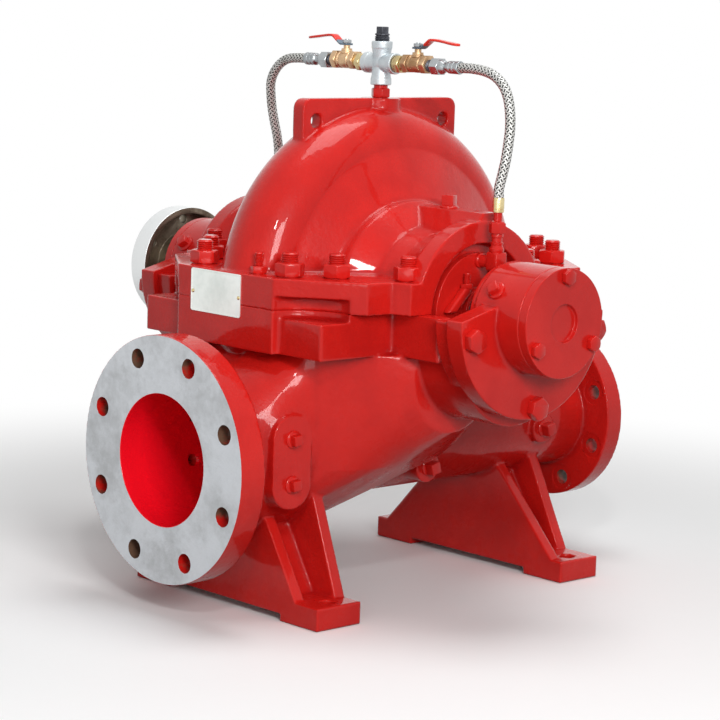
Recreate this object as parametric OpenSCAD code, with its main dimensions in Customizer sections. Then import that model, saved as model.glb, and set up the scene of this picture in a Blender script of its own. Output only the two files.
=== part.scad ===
// Horizontal split case pump: a casing in two halves, parted at the height of
// the shaft, with both pipe flanges and the feet cast onto the lower half.
// Origin: middle of the four foot bolts, on the ground. X runs along the shaft,
// -Y is the suction side, +Y the discharge side, +Z up. Millimetres.

/* [Shaft line] */
// Height of the shaft over the ground
shaft_height = 355; // [340:1:380]
// How far the shaft lies from the middle of the feet, towards the suction side
shaft_offset = 27; // [15:1:40]
// Diameter of the shaft
shaft_d = 40; // [32:1:44]
// Radial clearance of the shaft in its bearings
bearing_clearance = 0.1; // [0.05:0.05:0.3]
// Radial clearance of the shaft in covers, glands and casing
shaft_clearance = 1; // [0.6:0.1:4]

/* [Suction nozzle] */
// Height of both nozzles over the ground
nozzle_height = 180; // [172:1:190]
// Distance from the origin to the suction flange's face
suction_reach = 330; // [315:1:360]
// Outer diameter of the suction flange
suction_flange_d = 285; // [280:1:310]
// Thickness of the suction flange
suction_flange_t = 34; // [22:1:40]
// Bore of the suction nozzle
suction_bore = 150; // [120:1:160]
// Bolt circle of the suction flange
suction_pcd = 240; // [225:1:250]
// Diameter of the suction flange's bolt holes
suction_hole_d = 22; // [16:1:26]
// Outer diameter of the neck behind the suction flange
suction_neck_d = 190; // [180:1:196]

/* [Discharge nozzle] */
// Distance from the origin to the discharge flange's face
discharge_reach = 330; // [315:1:360]
// Outer diameter of the discharge flange
discharge_flange_d = 220; // [210:1:250]
// Thickness of the discharge flange
discharge_flange_t = 26; // [18:1:34]
// Bore of the discharge nozzle
discharge_bore = 100; // [80:1:110]
// Bolt circle of the discharge flange
discharge_pcd = 180; // [172:1:190]
// Diameter of the discharge flange's bolt holes
discharge_hole_d = 18; // [14:1:22]
// Outer diameter of the discharge neck
discharge_neck_d = 136; // [126:1:146]

/* [Feet] */
// Distance between the middles of the two feet
foot_spacing = 400; // [390:1:420]
// Length of each foot along the shaft
foot_length = 330; // [310:1:360]
// Width of each foot
foot_width = 66; // [60:1:76]
// Thickness of the pads that the feet stand on
foot_pad_t = 26; // [20:1:34]
// Distance between the two bolts of one foot
foot_bolt_span = 288; // [280:1:296]
// Diameter of the foot bolt holes
foot_hole_d = 19; // [14:1:22]
// Height of the relief under the middle of each foot
foot_relief_h = 8; // [4:1:12]
// Length of the relief under the middle of each foot
foot_relief_l = 202; // [180:1:220]
// Thickness of the side plates that carry a nozzle on its foot
foot_plate_t = 15; // [10:1:20]

/* [Volute] */
// Outer radius of the volute's rim
volute_r = 222; // [215:1:230]
// How far the volute's centre lies from the shaft, towards the discharge
volute_offset = 14; // [8:1:18]
// Radius of the volute's rounded rim
volute_rim_r = 50; // [44:1:56]
// Half width of the volute where the suction arms leave it
volute_side = 80; // [72:1:86]

/* [Split flanges] */
// Thickness of the upper split flange
upper_flange_t = 36; // [30:1:44]
// Thickness of the lower split flange
lower_flange_t = 50; // [40:1:56]
// Distance from the shaft to the flanges' suction end
flange_suction_end = 215; // [212:1:222]
// Distance from the shaft to the flanges' discharge end
flange_discharge_end = 262; // [258:1:275]
// Half width of the flanges' ends
flange_end_half = 85; // [78:1:92]
// Half width of the upper flange beside the volute
flange_side_half = 172; // [166:1:175]
// Thickness of the lip over the pry pockets in the flanges' corners
flange_lip_t = 20; // [14:1:24]
// Depth of the pry pockets
pocket_depth = 22; // [14:1:28]
// Half width of the lower flange and of the jacking lugs on it
lug_half = 156; // [150:1:160]
// How far the lugs' top lies below the split
lug_drop = 9; // [5:1:14]

/* [Stuffing boxes] */
// Distance from the middle of the pump to a stuffing box's end face
box_end = 200; // [194:1:206]
// Outer radius of the stuffing box's end ring
box_r = 102; // [97:1:108]
// Inner radius of the end ring
box_recess_r = 77; // [73:1:82]
// Depth of the recess that holds the gland
box_recess_depth = 14; // [10:1:18]
// Radius of the seal gland
gland_r = 66; // [60:1:70]
// Thickness of the seal gland's plate
gland_t = 9; // [6:1:13]
// Radius of the gland's hub round the shaft
gland_hub_r = 26; // [23:1:27]
// Height of the flat pad on top of the suction arm, over the shaft
pad_height = 111; // [107:1:116]

/* [Bearing housings] */
// Radius of a bearing housing's barrel
barrel_r = 62; // [56:1:66]
// Distance from the middle of the pump to a barrel's inner end
barrel_start = 249; // [244:1:254]
// Outer radius of the housing's bolting flange
bracket_r = 114.6; // [110:0.1:120]
// Distance from the barrel's inner end to the flange's back
bracket_set = 11; // [8:1:14]
// Thickness of the housing's bolting flange
bracket_t = 25; // [18:1:30]
// Length of the outboard bearing's barrel with its cover
outboard_l = 82; // [76:1:90]
// Length of the drive end bearing's barrel with its cover
drive_l = 57; // [52:1:62]
// Thickness of the bearing covers
cover_t = 12; // [8:1:14]
// Width of the inner bearing covers
inner_cover_t = 9; // [6:1:12]
// Radius of the shallow recess in the outboard cover
cover_recess_r = 21.5; // [16:0.5:26]

/* [Coupling] */
// Distance from the drive end cover to the coupling's outer face
coupling_reach = 54; // [48:1:64]
// Thickness of the coupling's flange
coupling_t = 28; // [22:1:32]
// Outer radius of the coupling's flange
coupling_r = 73; // [68:1:80]
// Width of the coupling's raised rim
coupling_rim = 8; // [5:1:9]
// Radius of the coupling's hub
coupling_hub_r = 40; // [34:1:44]
// Bolt circle of the coupling
coupling_pcd = 114; // [108:1:120]
// Diameter of the coupling's bolt holes
coupling_hole_d = 11; // [8:1:13]

/* [Lifting plate] */
// Height of the lifting plate's top over the shaft
lift_top = 232; // [228:1:240]
// Half width of the lifting plate
lift_half = 124; // [116:1:132]
// Thickness of the lifting plate
lift_t = 19; // [14:1:24]
// Distance of each lifting hole from the plate's middle
lift_hole_at = 103; // [100:1:106]
// Diameter of the lifting holes
lift_hole_d = 17; // [12:1:18]
// Radius of the vent boss on the crown
vent_boss_r = 24; // [20:1:28]

/* [Flush pipework] */
// Distance of the pipework from the shaft, towards the discharge
pipe_offset = 20; // [16:1:24]
// Height of the valves' centre line over the shaft
pipe_height = 273; // [268:1:280]
// Half length of the cross fitting
cross_half = 26; // [22:1:28]
// Diameter of the flush hoses
hose_d = 12; // [8:1:14]
// Length of a valve lever from its stem
lever_l = 68; // [50:1:80]
// Width of a valve lever
lever_w = 11; // [8:1:14]
// Thickness of a valve lever's plate
lever_t = 2.5; // [1.5:0.5:3.5]

/* [Hidden] */
$fn = 64;
faces_of_hull = 32;
far = 900;
sides = [["outboard", 1], ["drive", -1]];

casing_red = [0.75, 0.10, 0.10];
bare_steel = [0.55, 0.55, 0.55];
dark_steel = [0.20, 0.20, 0.19];
zinc_grey = [0.68, 0.70, 0.72];
brass_gold = [0.72, 0.55, 0.28];

shaft_r = shaft_d / 2;
split = shaft_height;
suction_face = -suction_reach;
volute_y = volute_offset - shaft_offset;
pipe_y = pipe_offset - shaft_offset;
pipe_z = split + pipe_height;
vent_z = split + lift_top;
box_face = box_end - box_recess_depth;
bracket_start = barrel_start + bracket_set;
bracket_end = bracket_start + bracket_t;
outboard_end = barrel_start + outboard_l;
drive_end = barrel_start + drive_l;
coupling_end = drive_end + coupling_reach;
coupling_face = coupling_end - coupling_t;
coupling_web = coupling_t / 2;
hub_end = drive_end + 5;

// Bores end inside the casing, at these distances from the shaft
suction_bore_end = -50;
discharge_bore_end = 60;

// Suction chamber under the split: a neck that spreads to a wide trough, which
// tapers to both ends and tucks in under the rails there
chamber_r = 145;
chamber_drop = lower_flange_t;
chamber_back = 25;
chamber_half = 115;
chamber_end_r = 62;
chamber_end_drop = 80;
spread_start = suction_face + 134;
suction_neck_end = suction_face + 185;

// Bearing arms: troughs that end in a bolting face
arm_r = 84;
arm_drop = 42;
arm_cavity_r = 78;
arm_pad_t = 24;
arm_pad_r = 108;
ridge_r = box_r + 16;
rail_end = box_end + 32;
rail_out = 97;
barrel_gap = 0.2;
lug_start = 10;

// Split flange: how far its ends turn in from its sides, and where its sides
// run out to the stuffing boxes
corner_run = 64;
flange_neck = [flange_side_half + 4, 118];
box_corner = [box_end, 111];
// Share of each slanted corner that the pry pocket takes
pocket_share = 0.82;

// Slopes of the side plates: half widths at the pad and at the nozzle
near_outer_plate = [127, 52];
near_inner_plate = [138, 92];
far_inner_plate = [149, 36];
far_outer_plate = [113, 52];
plate_rise = 118;
web_inset = 26;

// Flush pipework along one side, from the cross outwards
adapter_l = 16;
valve_l = 40;
nipple_l = 8;
hose_nut_l = 20;
ferrule_l = 24;
valve_start = cross_half + adapter_l;
nipple_start = valve_start + valve_l;
nut_start = nipple_start + nipple_l;
ferrule_start = nut_start + hose_nut_l;
hose_start = ferrule_start + ferrule_l;
stem_x = valve_start + valve_l / 2;
stem_r = 4;
stem_gap = 0.1;
neck_top = pipe_z + 15;
lever_base = neck_top + 4;
stem_top = lever_base + lever_t;
lever_rise = 10;
lever_ramp = [8, 24];

// Flush tapping in each gland, across and above the shaft
outboard_tap = [0, 57];
drive_tap = [49, 29];

// Flush column over a tapping, from the elbow up to the hose
column_x = 222;
elbow_w = 18;
leg_r = 7.5;
elbow_top = 12;
collar_top = elbow_top + 8;
adapter_top = collar_top + 10;
column_nut_top = adapter_top + 13;
tail_start = column_nut_top + 14;
column_top = tail_start + 17;

// Routes of the hoses from the valve to the gland. The drive end's is listed
// as seen from its own side, with X away from the middle of the pump.
outboard_route = [
    [134, -7, 628], [143, -7, 628], [152, -7, 628], [172, -7, 626], [190, -8, 621],
    [205, -9, 611], [215, -11, 598], [221, -13, 582], [225, -16, 564], [226, -19, 546],
    [226, -22, 528], [225, -23.5, 519], [224, -25, 510], [222, -27, 496], [222, -27, 486]
];
drive_route = [
    [134, -7, 628], [152, -7, 628], [170, -7, 626], [186, -6, 619], [198, -5, 608],
    [206, -3, 595], [210, 1, 580], [213, 6, 563], [214, 11, 546], [214, 16, 529],
    [215, 20, 512], [217, 22, 496], [220, 22, 480], [222, 22, 467], [222, 22, 458]
];
hose_sides = 10;

// Helpers

module along_x() rotate([0, 90, 0]) children();

module along_y() rotate([-90, 0, 0]) children();

module at_shaft() translate([0, -shaft_offset, split]) children();

module to_side(side) mirror([side < 0 ? 1 : 0, 0, 0]) children();

module both_sides() for (entry = sides) to_side(entry[1]) children();

module rod_x(from, to, r) translate([from, 0, 0]) along_x() cylinder(h = to - from, r = r);

module rod_y(from, to, r) translate([0, from, 0]) along_y() cylinder(h = to - from, r = r);

module hex_x(from, to, across) {
    translate([from, 0, 0]) along_x() cylinder(h = to - from, d = across / cos(30), $fn = 6);
}

module hex_z(from, to, across) {
    translate([0, 0, from]) cylinder(h = to - from, d = across / cos(30), $fn = 6);
}

module revolve_x() along_x() rotate_extrude() children();

module hole_circle_y(from, to, pcd, count, d) {
    for (i = [0 : count - 1])
        rotate([0, (i + 0.5) * 360 / count, 0])
            translate([pcd / 2, 0, 0]) rod_y(from, to, d / 2);
}

// Keeps what lies below or above the split

module below_split() difference() {
    children();
    translate([-far, -far, split]) cube(2 * far);
}

module above_split() difference() {
    children();
    translate([-far, -far, split - 2 * far]) cube(2 * far);
}

// Casing forms shared by both halves

module volute() {
    rim_at = volute_r - volute_rim_r;
    shoulder_r = rim_at + 18;
    shoulder_half = volute_rim_r * 0.84;
    translate([0, volute_y, split]) {
        revolve_x() translate([rim_at, 0]) circle(volute_rim_r);
        revolve_x() polygon([
            [0, -volute_side], [ridge_r, -volute_side], [shoulder_r, -shoulder_half],
            [shoulder_r, shoulder_half], [ridge_r, volute_side], [0, volute_side]
        ]);
    }
}

// Outline of a split flange, seen from above, about the shaft
module flange_outline() {
    s = flange_suction_end;
    d = flange_discharge_end;
    right = [
        [flange_end_half, -s], [flange_side_half, -s + corner_run],
        [flange_neck[0], -flange_neck[1]], [box_corner[0], -box_corner[1]],
        box_corner, flange_neck,
        [flange_side_half, d - corner_run], [flange_end_half, d]
    ];
    left = [for (i = [len(right) - 1 : -1 : 0]) [-right[i][0], right[i][1]]];
    polygon(concat(right, left));
}

module flange_slab(bottom, thickness) {
    translate([0, -shaft_offset, split + bottom])
        linear_extrude(thickness) flange_outline();
}

// Round pockets in the slanted corners, where a bar can pry the halves apart
module pry_pockets(bottom, top) {
    slant = [flange_side_half - flange_end_half, corner_run];
    half_chord = pocket_share * norm(slant) / 2;
    pocket_r = (pow(half_chord, 2) + pow(pocket_depth, 2)) / (2 * pocket_depth);
    outward = [slant[1], -slant[0]] / norm(slant);
    middle = [flange_end_half, 0] + pocket_share * slant / 2 + (pocket_r - pocket_depth) * outward;
    ends = [[-flange_suction_end, 1], [flange_discharge_end, -1]];
    for (x = [-1, 1], end = ends)
        translate([x * middle[0], end[0] + end[1] * middle[1] - shaft_offset, split + bottom])
            cylinder(h = top - bottom, r = pocket_r);
}

// Lower casing

module suction_chamber() {
    neck_r = suction_neck_d / 2;
    flange_bottom = split - lower_flange_t;
    translate([0, 0, nozzle_height]) rod_y(suction_face + 1, suction_neck_end, neck_r);
    difference() {
        hull() {
            translate([0, 0, nozzle_height])
                rod_y(spread_start, suction_neck_end, neck_r, $fn = faces_of_hull);
            at_trough(chamber_drop)
                rod_x(-chamber_half, chamber_half, chamber_r, $fn = faces_of_hull);
            at_trough(chamber_end_drop)
                rod_x(-box_face, box_face, chamber_end_r, $fn = faces_of_hull);
        }
        translate([-far, -far, flange_bottom + 1]) cube(2 * far);
    }
}

module at_trough(drop) {
    translate([0, -shaft_offset - chamber_back, split - drop]) children();
}

module nozzles() {
    translate([0, 0, nozzle_height]) {
        rod_y(suction_face, suction_face + suction_flange_t, suction_flange_d / 2);
        rod_y(discharge_reach - discharge_flange_t, discharge_reach, discharge_flange_d / 2);
        rod_y(-shaft_offset, discharge_reach - 1, discharge_neck_d / 2);
    }
}

module discharge_passage() {
    translate([0, 0, nozzle_height])
        rod_y(discharge_bore_end - shaft_offset, discharge_reach + 1, discharge_bore / 2);
}

module nozzle_cuts() {
    discharge_passage();
    translate([0, 0, nozzle_height]) {
        rod_y(suction_face - 1, suction_bore_end - shaft_offset, suction_bore / 2);
        hole_circle_y(suction_face - 1, suction_face + suction_flange_t + 1,
            suction_pcd, 8, suction_hole_d);
        hole_circle_y(discharge_reach - discharge_flange_t - 1, discharge_reach + 1,
            discharge_pcd, 8, discharge_hole_d);
    }
}

// Trapezoid plate in the XZ plane, from the pad up into a nozzle
module foot_plate(from, thickness, widths) {
    low = widths[0];
    high = widths[1];
    translate([0, from + thickness, 0]) rotate([90, 0, 0]) linear_extrude(thickness)
        polygon([
            [-low, foot_pad_t - 1], [low, foot_pad_t - 1],
            [high, foot_pad_t + plate_rise], [-high, foot_pad_t + plate_rise]
        ]);
}

module foot(middle, low_y_plate, high_y_plate) {
    edge = middle - foot_width / 2;
    web = [for (i = [0, 1]) min(low_y_plate[i], high_y_plate[i]) - web_inset];
    difference() {
        translate([-foot_length / 2, edge, 0]) cube([foot_length, foot_width, foot_pad_t]);
        translate([-foot_relief_l / 2, edge - 1, -1])
            cube([foot_relief_l, foot_width + 2, foot_relief_h + 1]);
    }
    foot_plate(edge, foot_plate_t, low_y_plate);
    foot_plate(edge + foot_width - foot_plate_t, foot_plate_t, high_y_plate);
    foot_plate(edge + 1, foot_width - 2, web);
}

module feet() {
    foot(-foot_spacing / 2, near_outer_plate, near_inner_plate);
    foot(foot_spacing / 2, far_inner_plate, far_outer_plate);
}

module foot_holes() {
    for (x = [-1, 1], y = [-1, 1])
        translate([x * foot_bolt_span / 2, y * foot_spacing / 2, -1])
            cylinder(h = foot_pad_t + 2, d = foot_hole_d);
}

// Split flange with the jacking lugs beside its suction end, and the rails that
// run out to the bearings
module lower_flange() {
    lug_h = lower_flange_t - lug_drop;
    lug_l = flange_suction_end - lug_start - rail_out;
    difference() {
        intersection() {
            flange_slab(-lower_flange_t, lower_flange_t);
            translate([-lug_half, -far, 0]) cube([2 * lug_half, 2 * far, far]);
        }
        pry_pockets(-lower_flange_t - 1, 1);
    }
    translate([-lug_half, -shaft_offset - flange_suction_end + lug_start, split - lower_flange_t])
        cube([2 * lug_half, lug_l + 1, lug_h]);
    translate([-rail_end, -shaft_offset - rail_out, split - lower_flange_t])
        cube([2 * rail_end, 2 * rail_out, lower_flange_t]);
}

module bearing_arm() {
    at_shaft() {
        translate([0, 0, -arm_drop]) rod_x(volute_side, bracket_start, arm_r);
        rod_x(bracket_start - arm_pad_t, bracket_start, arm_pad_r);
    }
}

module bearing_arm_cuts() {
    at_shaft() {
        rod_x(box_face, bracket_start - arm_pad_t, arm_cavity_r);
        rod_x(bracket_start - arm_pad_t - 1, bracket_start + 1, barrel_r + barrel_gap);
    }
}

// Obround boss with two tappings on each flank of the suction neck
module gauge_boss() {
    boss_y = suction_face + 105;
    boss_z = nozzle_height + 4;
    boss_half = 26;
    boss_w = 58;
    boss_root = 60;
    boss_face = 107;
    flush_gap = 0.2;
    for (z = [-boss_half, boss_half])
        translate([0, boss_y, boss_z + z]) rod_x(boss_root, boss_face, boss_w / 2);
    translate([boss_root, boss_y - boss_w / 2 + flush_gap, boss_z - boss_half])
        cube([boss_face - boss_root, boss_w - 2 * flush_gap, 2 * boss_half]);
}

// Drains of the volute and of the discharge neck, by place along the pump and height
module drain_bosses() {
    boss_r = 19;
    boss_face = 76;
    volute_drain = [20, nozzle_height - 33];
    neck_drain = [discharge_reach - 108, nozzle_height - 5];
    for (drain = [volute_drain, neck_drain])
        translate([0, drain[0], drain[1]]) rod_x(0, boss_face, boss_r);
}

module lower_casing() {
    color(casing_red) below_split() {
        difference() {
            union() {
                difference() {
                    union() {
                        nozzles();
                        suction_chamber();
                        both_sides() gauge_boss();
                        feet();
                        drain_bosses();
                    }
                    nozzle_cuts();
                }
                difference() {
                    volute();
                    discharge_passage();
                }
                lower_flange();
                both_sides() bearing_arm();
            }
            both_sides() bearing_arm_cuts();
            at_shaft() rod_x(-far, far, shaft_r + shaft_clearance);
            foot_holes();
        }
    }
}

// Upper casing

// One suction arm: a waisted barrel that ends in the stuffing box ring
module suction_arm() {
    waist_r = box_r - 16;
    waist_at = volute_side + 60;
    root_at = volute_side / 2;
    ridge_from = volute_side - 10;
    ridge_to = volute_side + 6;
    shoulder_at = volute_side + 32;
    ring_from = box_end - 24;
    flare_from = ring_from - 10;
    blend = 4;
    at_shaft() revolve_x() polygon([
        [0, root_at], [ridge_r, ridge_from], [ridge_r - blend / 2, ridge_to],
        [waist_r + blend, shoulder_at], [waist_r, waist_at],
        [waist_r + blend, flare_from], [box_r, ring_from], [box_r, box_end], [0, box_end]
    ]);
}

// Flat pad along the top of an arm, between sloping sides
module arm_pad() {
    pad_start = volute_side - 6;
    pad_end = box_end - 2;
    pad_half = 12;
    skirt_half = 46;
    skirt_drop = 46;
    translate([pad_start, volute_y, split + pad_height]) rotate([90, 0, 90])
        linear_extrude(pad_end - pad_start)
            polygon([[-skirt_half, -skirt_drop], [skirt_half, -skirt_drop], [pad_half, 0], [-pad_half, 0]]);
}

module lifting_plate() {
    corner = 12;
    step = 15;
    top = lift_top;
    right = [for (a = [0 : step : 90])
        [lift_half - corner + corner * cos(a), top - corner + corner * sin(a)]];
    left = [for (a = [90 : step : 180])
        [-lift_half + corner + corner * cos(a), top - corner + corner * sin(a)]];
    low = volute_r * 0.6;
    translate([-lift_t / 2, volute_y, split]) rotate([90, 0, 90]) linear_extrude(lift_t)
        polygon(concat([[-lift_half, low], [lift_half, low]], right, left));
}

module lifting_holes() {
    hole_z = lift_top - 26;
    for (side = [-1, 1])
        translate([0, volute_y + side * lift_hole_at, split + hole_z])
            rod_x(-volute_rim_r, volute_rim_r, lift_hole_d / 2);
}

module vent_boss() {
    boss_h = 80;
    translate([0, pipe_y, vent_z - boss_h]) cylinder(h = boss_h, r = vent_boss_r);
}

module upper_casing() {
    color(casing_red) above_split() {
        difference() {
            union() {
                volute();
                both_sides() suction_arm();
                both_sides() arm_pad();
                difference() {
                    flange_slab(0, upper_flange_t);
                    pry_pockets(-1, upper_flange_t - flange_lip_t);
                }
                lifting_plate();
                vent_boss();
            }
            lifting_holes();
            both_sides() at_shaft() rod_x(box_face, box_end + 1, box_recess_r);
            at_shaft() rod_x(-far, far, shaft_r + shaft_clearance);
        }
    }
}

// Rotor

module shaft() {
    chamfer = 2;
    color(bare_steel) at_shaft() revolve_x() polygon([
        [0, -coupling_end + 4], [shaft_r - chamfer, -coupling_end + 4],
        [shaft_r, -coupling_end + 4 + chamfer], [shaft_r, outboard_end - cover_t - 6],
        [0, outboard_end - cover_t - 6]
    ]);
}

module coupling_hub() {
    color(dark_steel) at_shaft() difference() {
        union() {
            rod_x(-coupling_end, -coupling_face, coupling_r);
            rod_x(-coupling_face - 1, -hub_end, coupling_hub_r);
        }
        difference() {
            rod_x(-coupling_face - coupling_web, -coupling_face + 1, coupling_r - coupling_rim);
            rod_x(-coupling_end, 0, coupling_hub_r);
        }
        rod_x(-coupling_end - 1, 0, shaft_r);
        for (i = [0 : 5])
            rotate([(i + 0.5) * 60, 0, 0]) translate([0, coupling_pcd / 2, 0])
                rod_x(-coupling_end - 1, -coupling_face + 1, coupling_hole_d / 2);
    }
}

// Bearing housings

// Bolting flange: a disc under a roof that rises to the barrel
module bracket_flange() {
    edge_z = 3;
    roof_z = 18;
    intersection() {
        rod_x(bracket_start, bracket_end, bracket_r);
        translate([bracket_start, 0, 0]) rotate([90, 0, 90]) linear_extrude(bracket_t)
            polygon([
                [-bracket_r, -bracket_r], [bracket_r, -bracket_r], [bracket_r, edge_z],
                [barrel_r - 4, roof_z], [-barrel_r + 4, roof_z], [-bracket_r, edge_z]
            ]);
    }
}

module bearing_housing(cover_end) {
    color(casing_red) at_shaft() difference() {
        union() {
            rod_x(barrel_start, cover_end - cover_t, barrel_r);
            bracket_flange();
        }
        rod_x(barrel_start - 1, cover_end, shaft_r + bearing_clearance);
    }
}

module bearing_cover_outboard() {
    recess = 3;
    color(casing_red) at_shaft() difference() {
        rod_x(outboard_end - cover_t, outboard_end, barrel_r);
        rod_x(outboard_end - recess, outboard_end + 1, cover_recess_r);
    }
}

module bearing_cover_drive() {
    color(casing_red) to_side(-1) at_shaft() difference() {
        rod_x(drive_end - cover_t, drive_end, barrel_r);
        rod_x(drive_end - cover_t - 1, drive_end + 1, shaft_r + shaft_clearance);
    }
}

module inner_cover() {
    lip = 3;
    color(casing_red) at_shaft() difference() {
        rod_x(barrel_start - inner_cover_t, barrel_start, barrel_r - lip);
        rod_x(barrel_start - inner_cover_t - 1, barrel_start + 1, shaft_r + shaft_clearance);
    }
}

// Seal glands

module seal_gland() {
    color(casing_red) at_shaft() difference() {
        union() {
            rod_x(box_face, box_face + gland_t, gland_r);
            rod_x(box_face, box_face + gland_t + 8, gland_hub_r);
        }
        rod_x(box_face - 1, box_end + 20, shaft_r + shaft_clearance);
    }
}

// A pair of clips across the gland's face, leaning up beside the shaft
module gland_clips() {
    bar = 11;
    reach = 44;
    lean = 45;
    foot_y = 58;
    clip_x = box_face + gland_t;
    color(casing_red) at_shaft() for (side = [-1, 1]) mirror([0, side < 0 ? 0 : 1, 0])
        translate([clip_x, -foot_y, 0]) intersection() {
            rotate([lean, 0, 0]) translate([0, 0, -bar]) cube([bar, reach, bar]);
            translate([-1, -far / 2, 0]) cube(far);
        }
}

// Vent and flush pipework

module vent_nipple() {
    color(casing_red) translate([0, pipe_y, 0]) hex_z(vent_z, pipe_z - cross_half, 20);
}

module cross_fitting() {
    port_r = 12.5;
    body_r = 11;
    bead = 7;
    color(zinc_grey) translate([0, pipe_y, pipe_z]) {
        rod_x(-cross_half + 1, cross_half - 1, body_r);
        translate([0, 0, -cross_half + 1]) cylinder(h = 2 * cross_half - 2, r = body_r);
        sphere(port_r + 1);
        both_sides() rod_x(cross_half - bead, cross_half, port_r);
        translate([0, 0, -cross_half]) cylinder(h = bead, r = port_r);
        translate([0, 0, cross_half - bead]) cylinder(h = bead, r = port_r);
    }
}

module cross_plug() {
    collar_h = 9;
    head_h = 8;
    head_w = 10.6;
    color(dark_steel) translate([0, pipe_y, pipe_z + cross_half]) {
        cylinder(h = collar_h, r = 9);
        translate([-head_w / 2, -head_w / 2, collar_h - 1]) cube([head_w, head_w, head_h + 1]);
    }
}

module on_pipe(side) to_side(side) translate([0, pipe_y, pipe_z]) children();

module valve_adapter(side) {
    color(zinc_grey) on_pipe(side) {
        hex_x(cross_half, cross_half + adapter_l - 5, 21);
        rod_x(cross_half + adapter_l - 6, valve_start, 8);
    }
}

module valve_body(side) {
    end_l = 11;
    ball_r = 10.5;
    neck_r = 7;
    color(brass_gold) on_pipe(side) difference() {
        union() {
            hex_x(valve_start, valve_start + end_l, 21);
            hex_x(nipple_start - end_l, nipple_start, 21);
            rod_x(valve_start + end_l - 1, nipple_start - end_l + 1, 9);
            translate([stem_x, 0, 0]) sphere(ball_r);
            translate([stem_x, 0, 0]) cylinder(h = neck_top - pipe_z, r = neck_r);
        }
        translate([stem_x, 0, 4]) cylinder(h = far, r = stem_r + stem_gap);
    }
}

module at_stem(side) to_side(side) translate([stem_x, pipe_y, 0]) children();

module valve_stem(side) {
    stem_foot = pipe_z + 6;
    color(brass_gold) at_stem(side) translate([0, 0, stem_foot])
        cylinder(h = stem_top - stem_foot, r = stem_r);
}

// Flat bar, cranked up from the stem and level again along the grip
module valve_lever(side) {
    rise = lever_rise;
    profile = [
        [-lever_w / 2, 0], [lever_ramp[0], 0], [lever_ramp[1], rise], [lever_l, rise - 4],
        [lever_l, rise - 4 + lever_t], [lever_ramp[1] - 1, rise + lever_t],
        [lever_ramp[0] - 1, lever_t], [-lever_w / 2, lever_t]
    ];
    color(casing_red) at_stem(side) translate([0, lever_w / 2, lever_base]) difference() {
        rotate([90, 0, 0]) linear_extrude(lever_w) polygon(profile);
        translate([0, -lever_w / 2, -1]) cylinder(h = lever_t + 2, r = stem_r);
    }
}

module lever_nut(side) {
    color(zinc_grey) at_stem(side) hex_z(stem_top, stem_top + 5, 10);
}

module valve_nipple(side) {
    color(dark_steel) on_pipe(side) rod_x(nipple_start, nut_start, 7.5);
}

module hose_nut(side) {
    color(zinc_grey) on_pipe(side) hex_x(nut_start, ferrule_start, 19);
}

module hose_ferrule(side) {
    color(zinc_grey) on_pipe(side) rod_x(ferrule_start, hose_start, hose_d / 2 + 1.8);
}

// Closed tube of round section that follows a list of points
function unit(v) = v / norm(v);
function heading(route, i) =
    unit(route[min(i + 1, len(route) - 1)] - route[max(i - 1, 0)]);
function ring(route, i, r, count) =
    let (t = heading(route, i), side = unit(cross(t, [0, 1, 0])), up = cross(side, t))
    [for (k = [0 : count - 1])
        route[i] + r * (cos(k * 360 / count) * side + sin(k * 360 / count) * up)];

module tube(route, r, count) {
    rows = len(route);
    points = [for (i = [0 : rows - 1]) each ring(route, i, r, count)];
    walls = [for (i = [0 : rows - 2], k = [0 : count - 1])
        let (n = (k + 1) % count)
        [i * count + k, i * count + n, (i + 1) * count + n, (i + 1) * count + k]];
    start = [[for (k = [count - 1 : -1 : 0]) k]];
    end = [[for (k = [0 : count - 1]) (rows - 1) * count + k]];
    polyhedron(points = points, faces = concat(walls, start, end));
}

module flush_hose(side) {
    route = side > 0 ? outboard_route : drive_route;
    color(zinc_grey) to_side(side) tube(route, hose_d / 2, hose_sides);
}

module on_column(side) {
    tap = side > 0 ? outboard_tap : drive_tap;
    to_side(side) translate([column_x, tap[0] - shaft_offset, split + tap[1]]) children();
}

// Ferrule of the hose's lower end
module hose_tail(side) {
    color(brass_gold) on_column(side) translate([0, 0, tail_start])
        cylinder(h = column_top - tail_start, r = hose_d / 2 + 0.8);
}

// Stem, swivel nut and adapter between the hose and the elbow
module gland_fitting(side) {
    color(casing_red) on_column(side) {
        hex_z(adapter_top, column_nut_top, 17);
        translate([0, 0, column_nut_top - 1]) cylinder(h = tail_start - column_nut_top + 1, r = 5);
        translate([0, 0, collar_top]) cylinder(h = adapter_top - collar_top + 1, r = 7);
    }
}

module gland_elbow(side) {
    half = elbow_w / 2;
    color(casing_red) on_column(side) {
        translate([-half, -half, -half]) cube([elbow_w, elbow_w, elbow_top + half]);
        translate([0, 0, elbow_top - 1]) cylinder(h = collar_top - elbow_top + 1, r = 8.5);
        rod_x(box_face + gland_t - column_x, -half + 1, leg_r);
    }
}

// Nodes

lower_casing();
upper_casing();
shaft();
coupling_hub();
bearing_housing(outboard_end);  // bearing_housing_outboard
to_side(-1) bearing_housing(drive_end);  // bearing_housing_drive
bearing_cover_outboard();
bearing_cover_drive();
inner_cover();  // inner_cover_outboard
to_side(-1) inner_cover();  // inner_cover_drive
seal_gland();  // seal_gland_outboard
to_side(-1) seal_gland();  // seal_gland_drive
gland_clips();  // gland_clips_outboard
to_side(-1) gland_clips();  // gland_clips_drive
vent_nipple();
cross_fitting();
cross_plug();
for (entry = sides) {
    name = entry[0];
    side = entry[1];
    valve_adapter(side);
    valve_body(side);
    valve_stem(side);
    valve_lever(side);
    lever_nut(side);
    valve_nipple(side);
    hose_nut(side);
    hose_ferrule(side);
    flush_hose(side);
    hose_tail(side);
    gland_fitting(side);
    gland_elbow(side);
}
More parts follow.
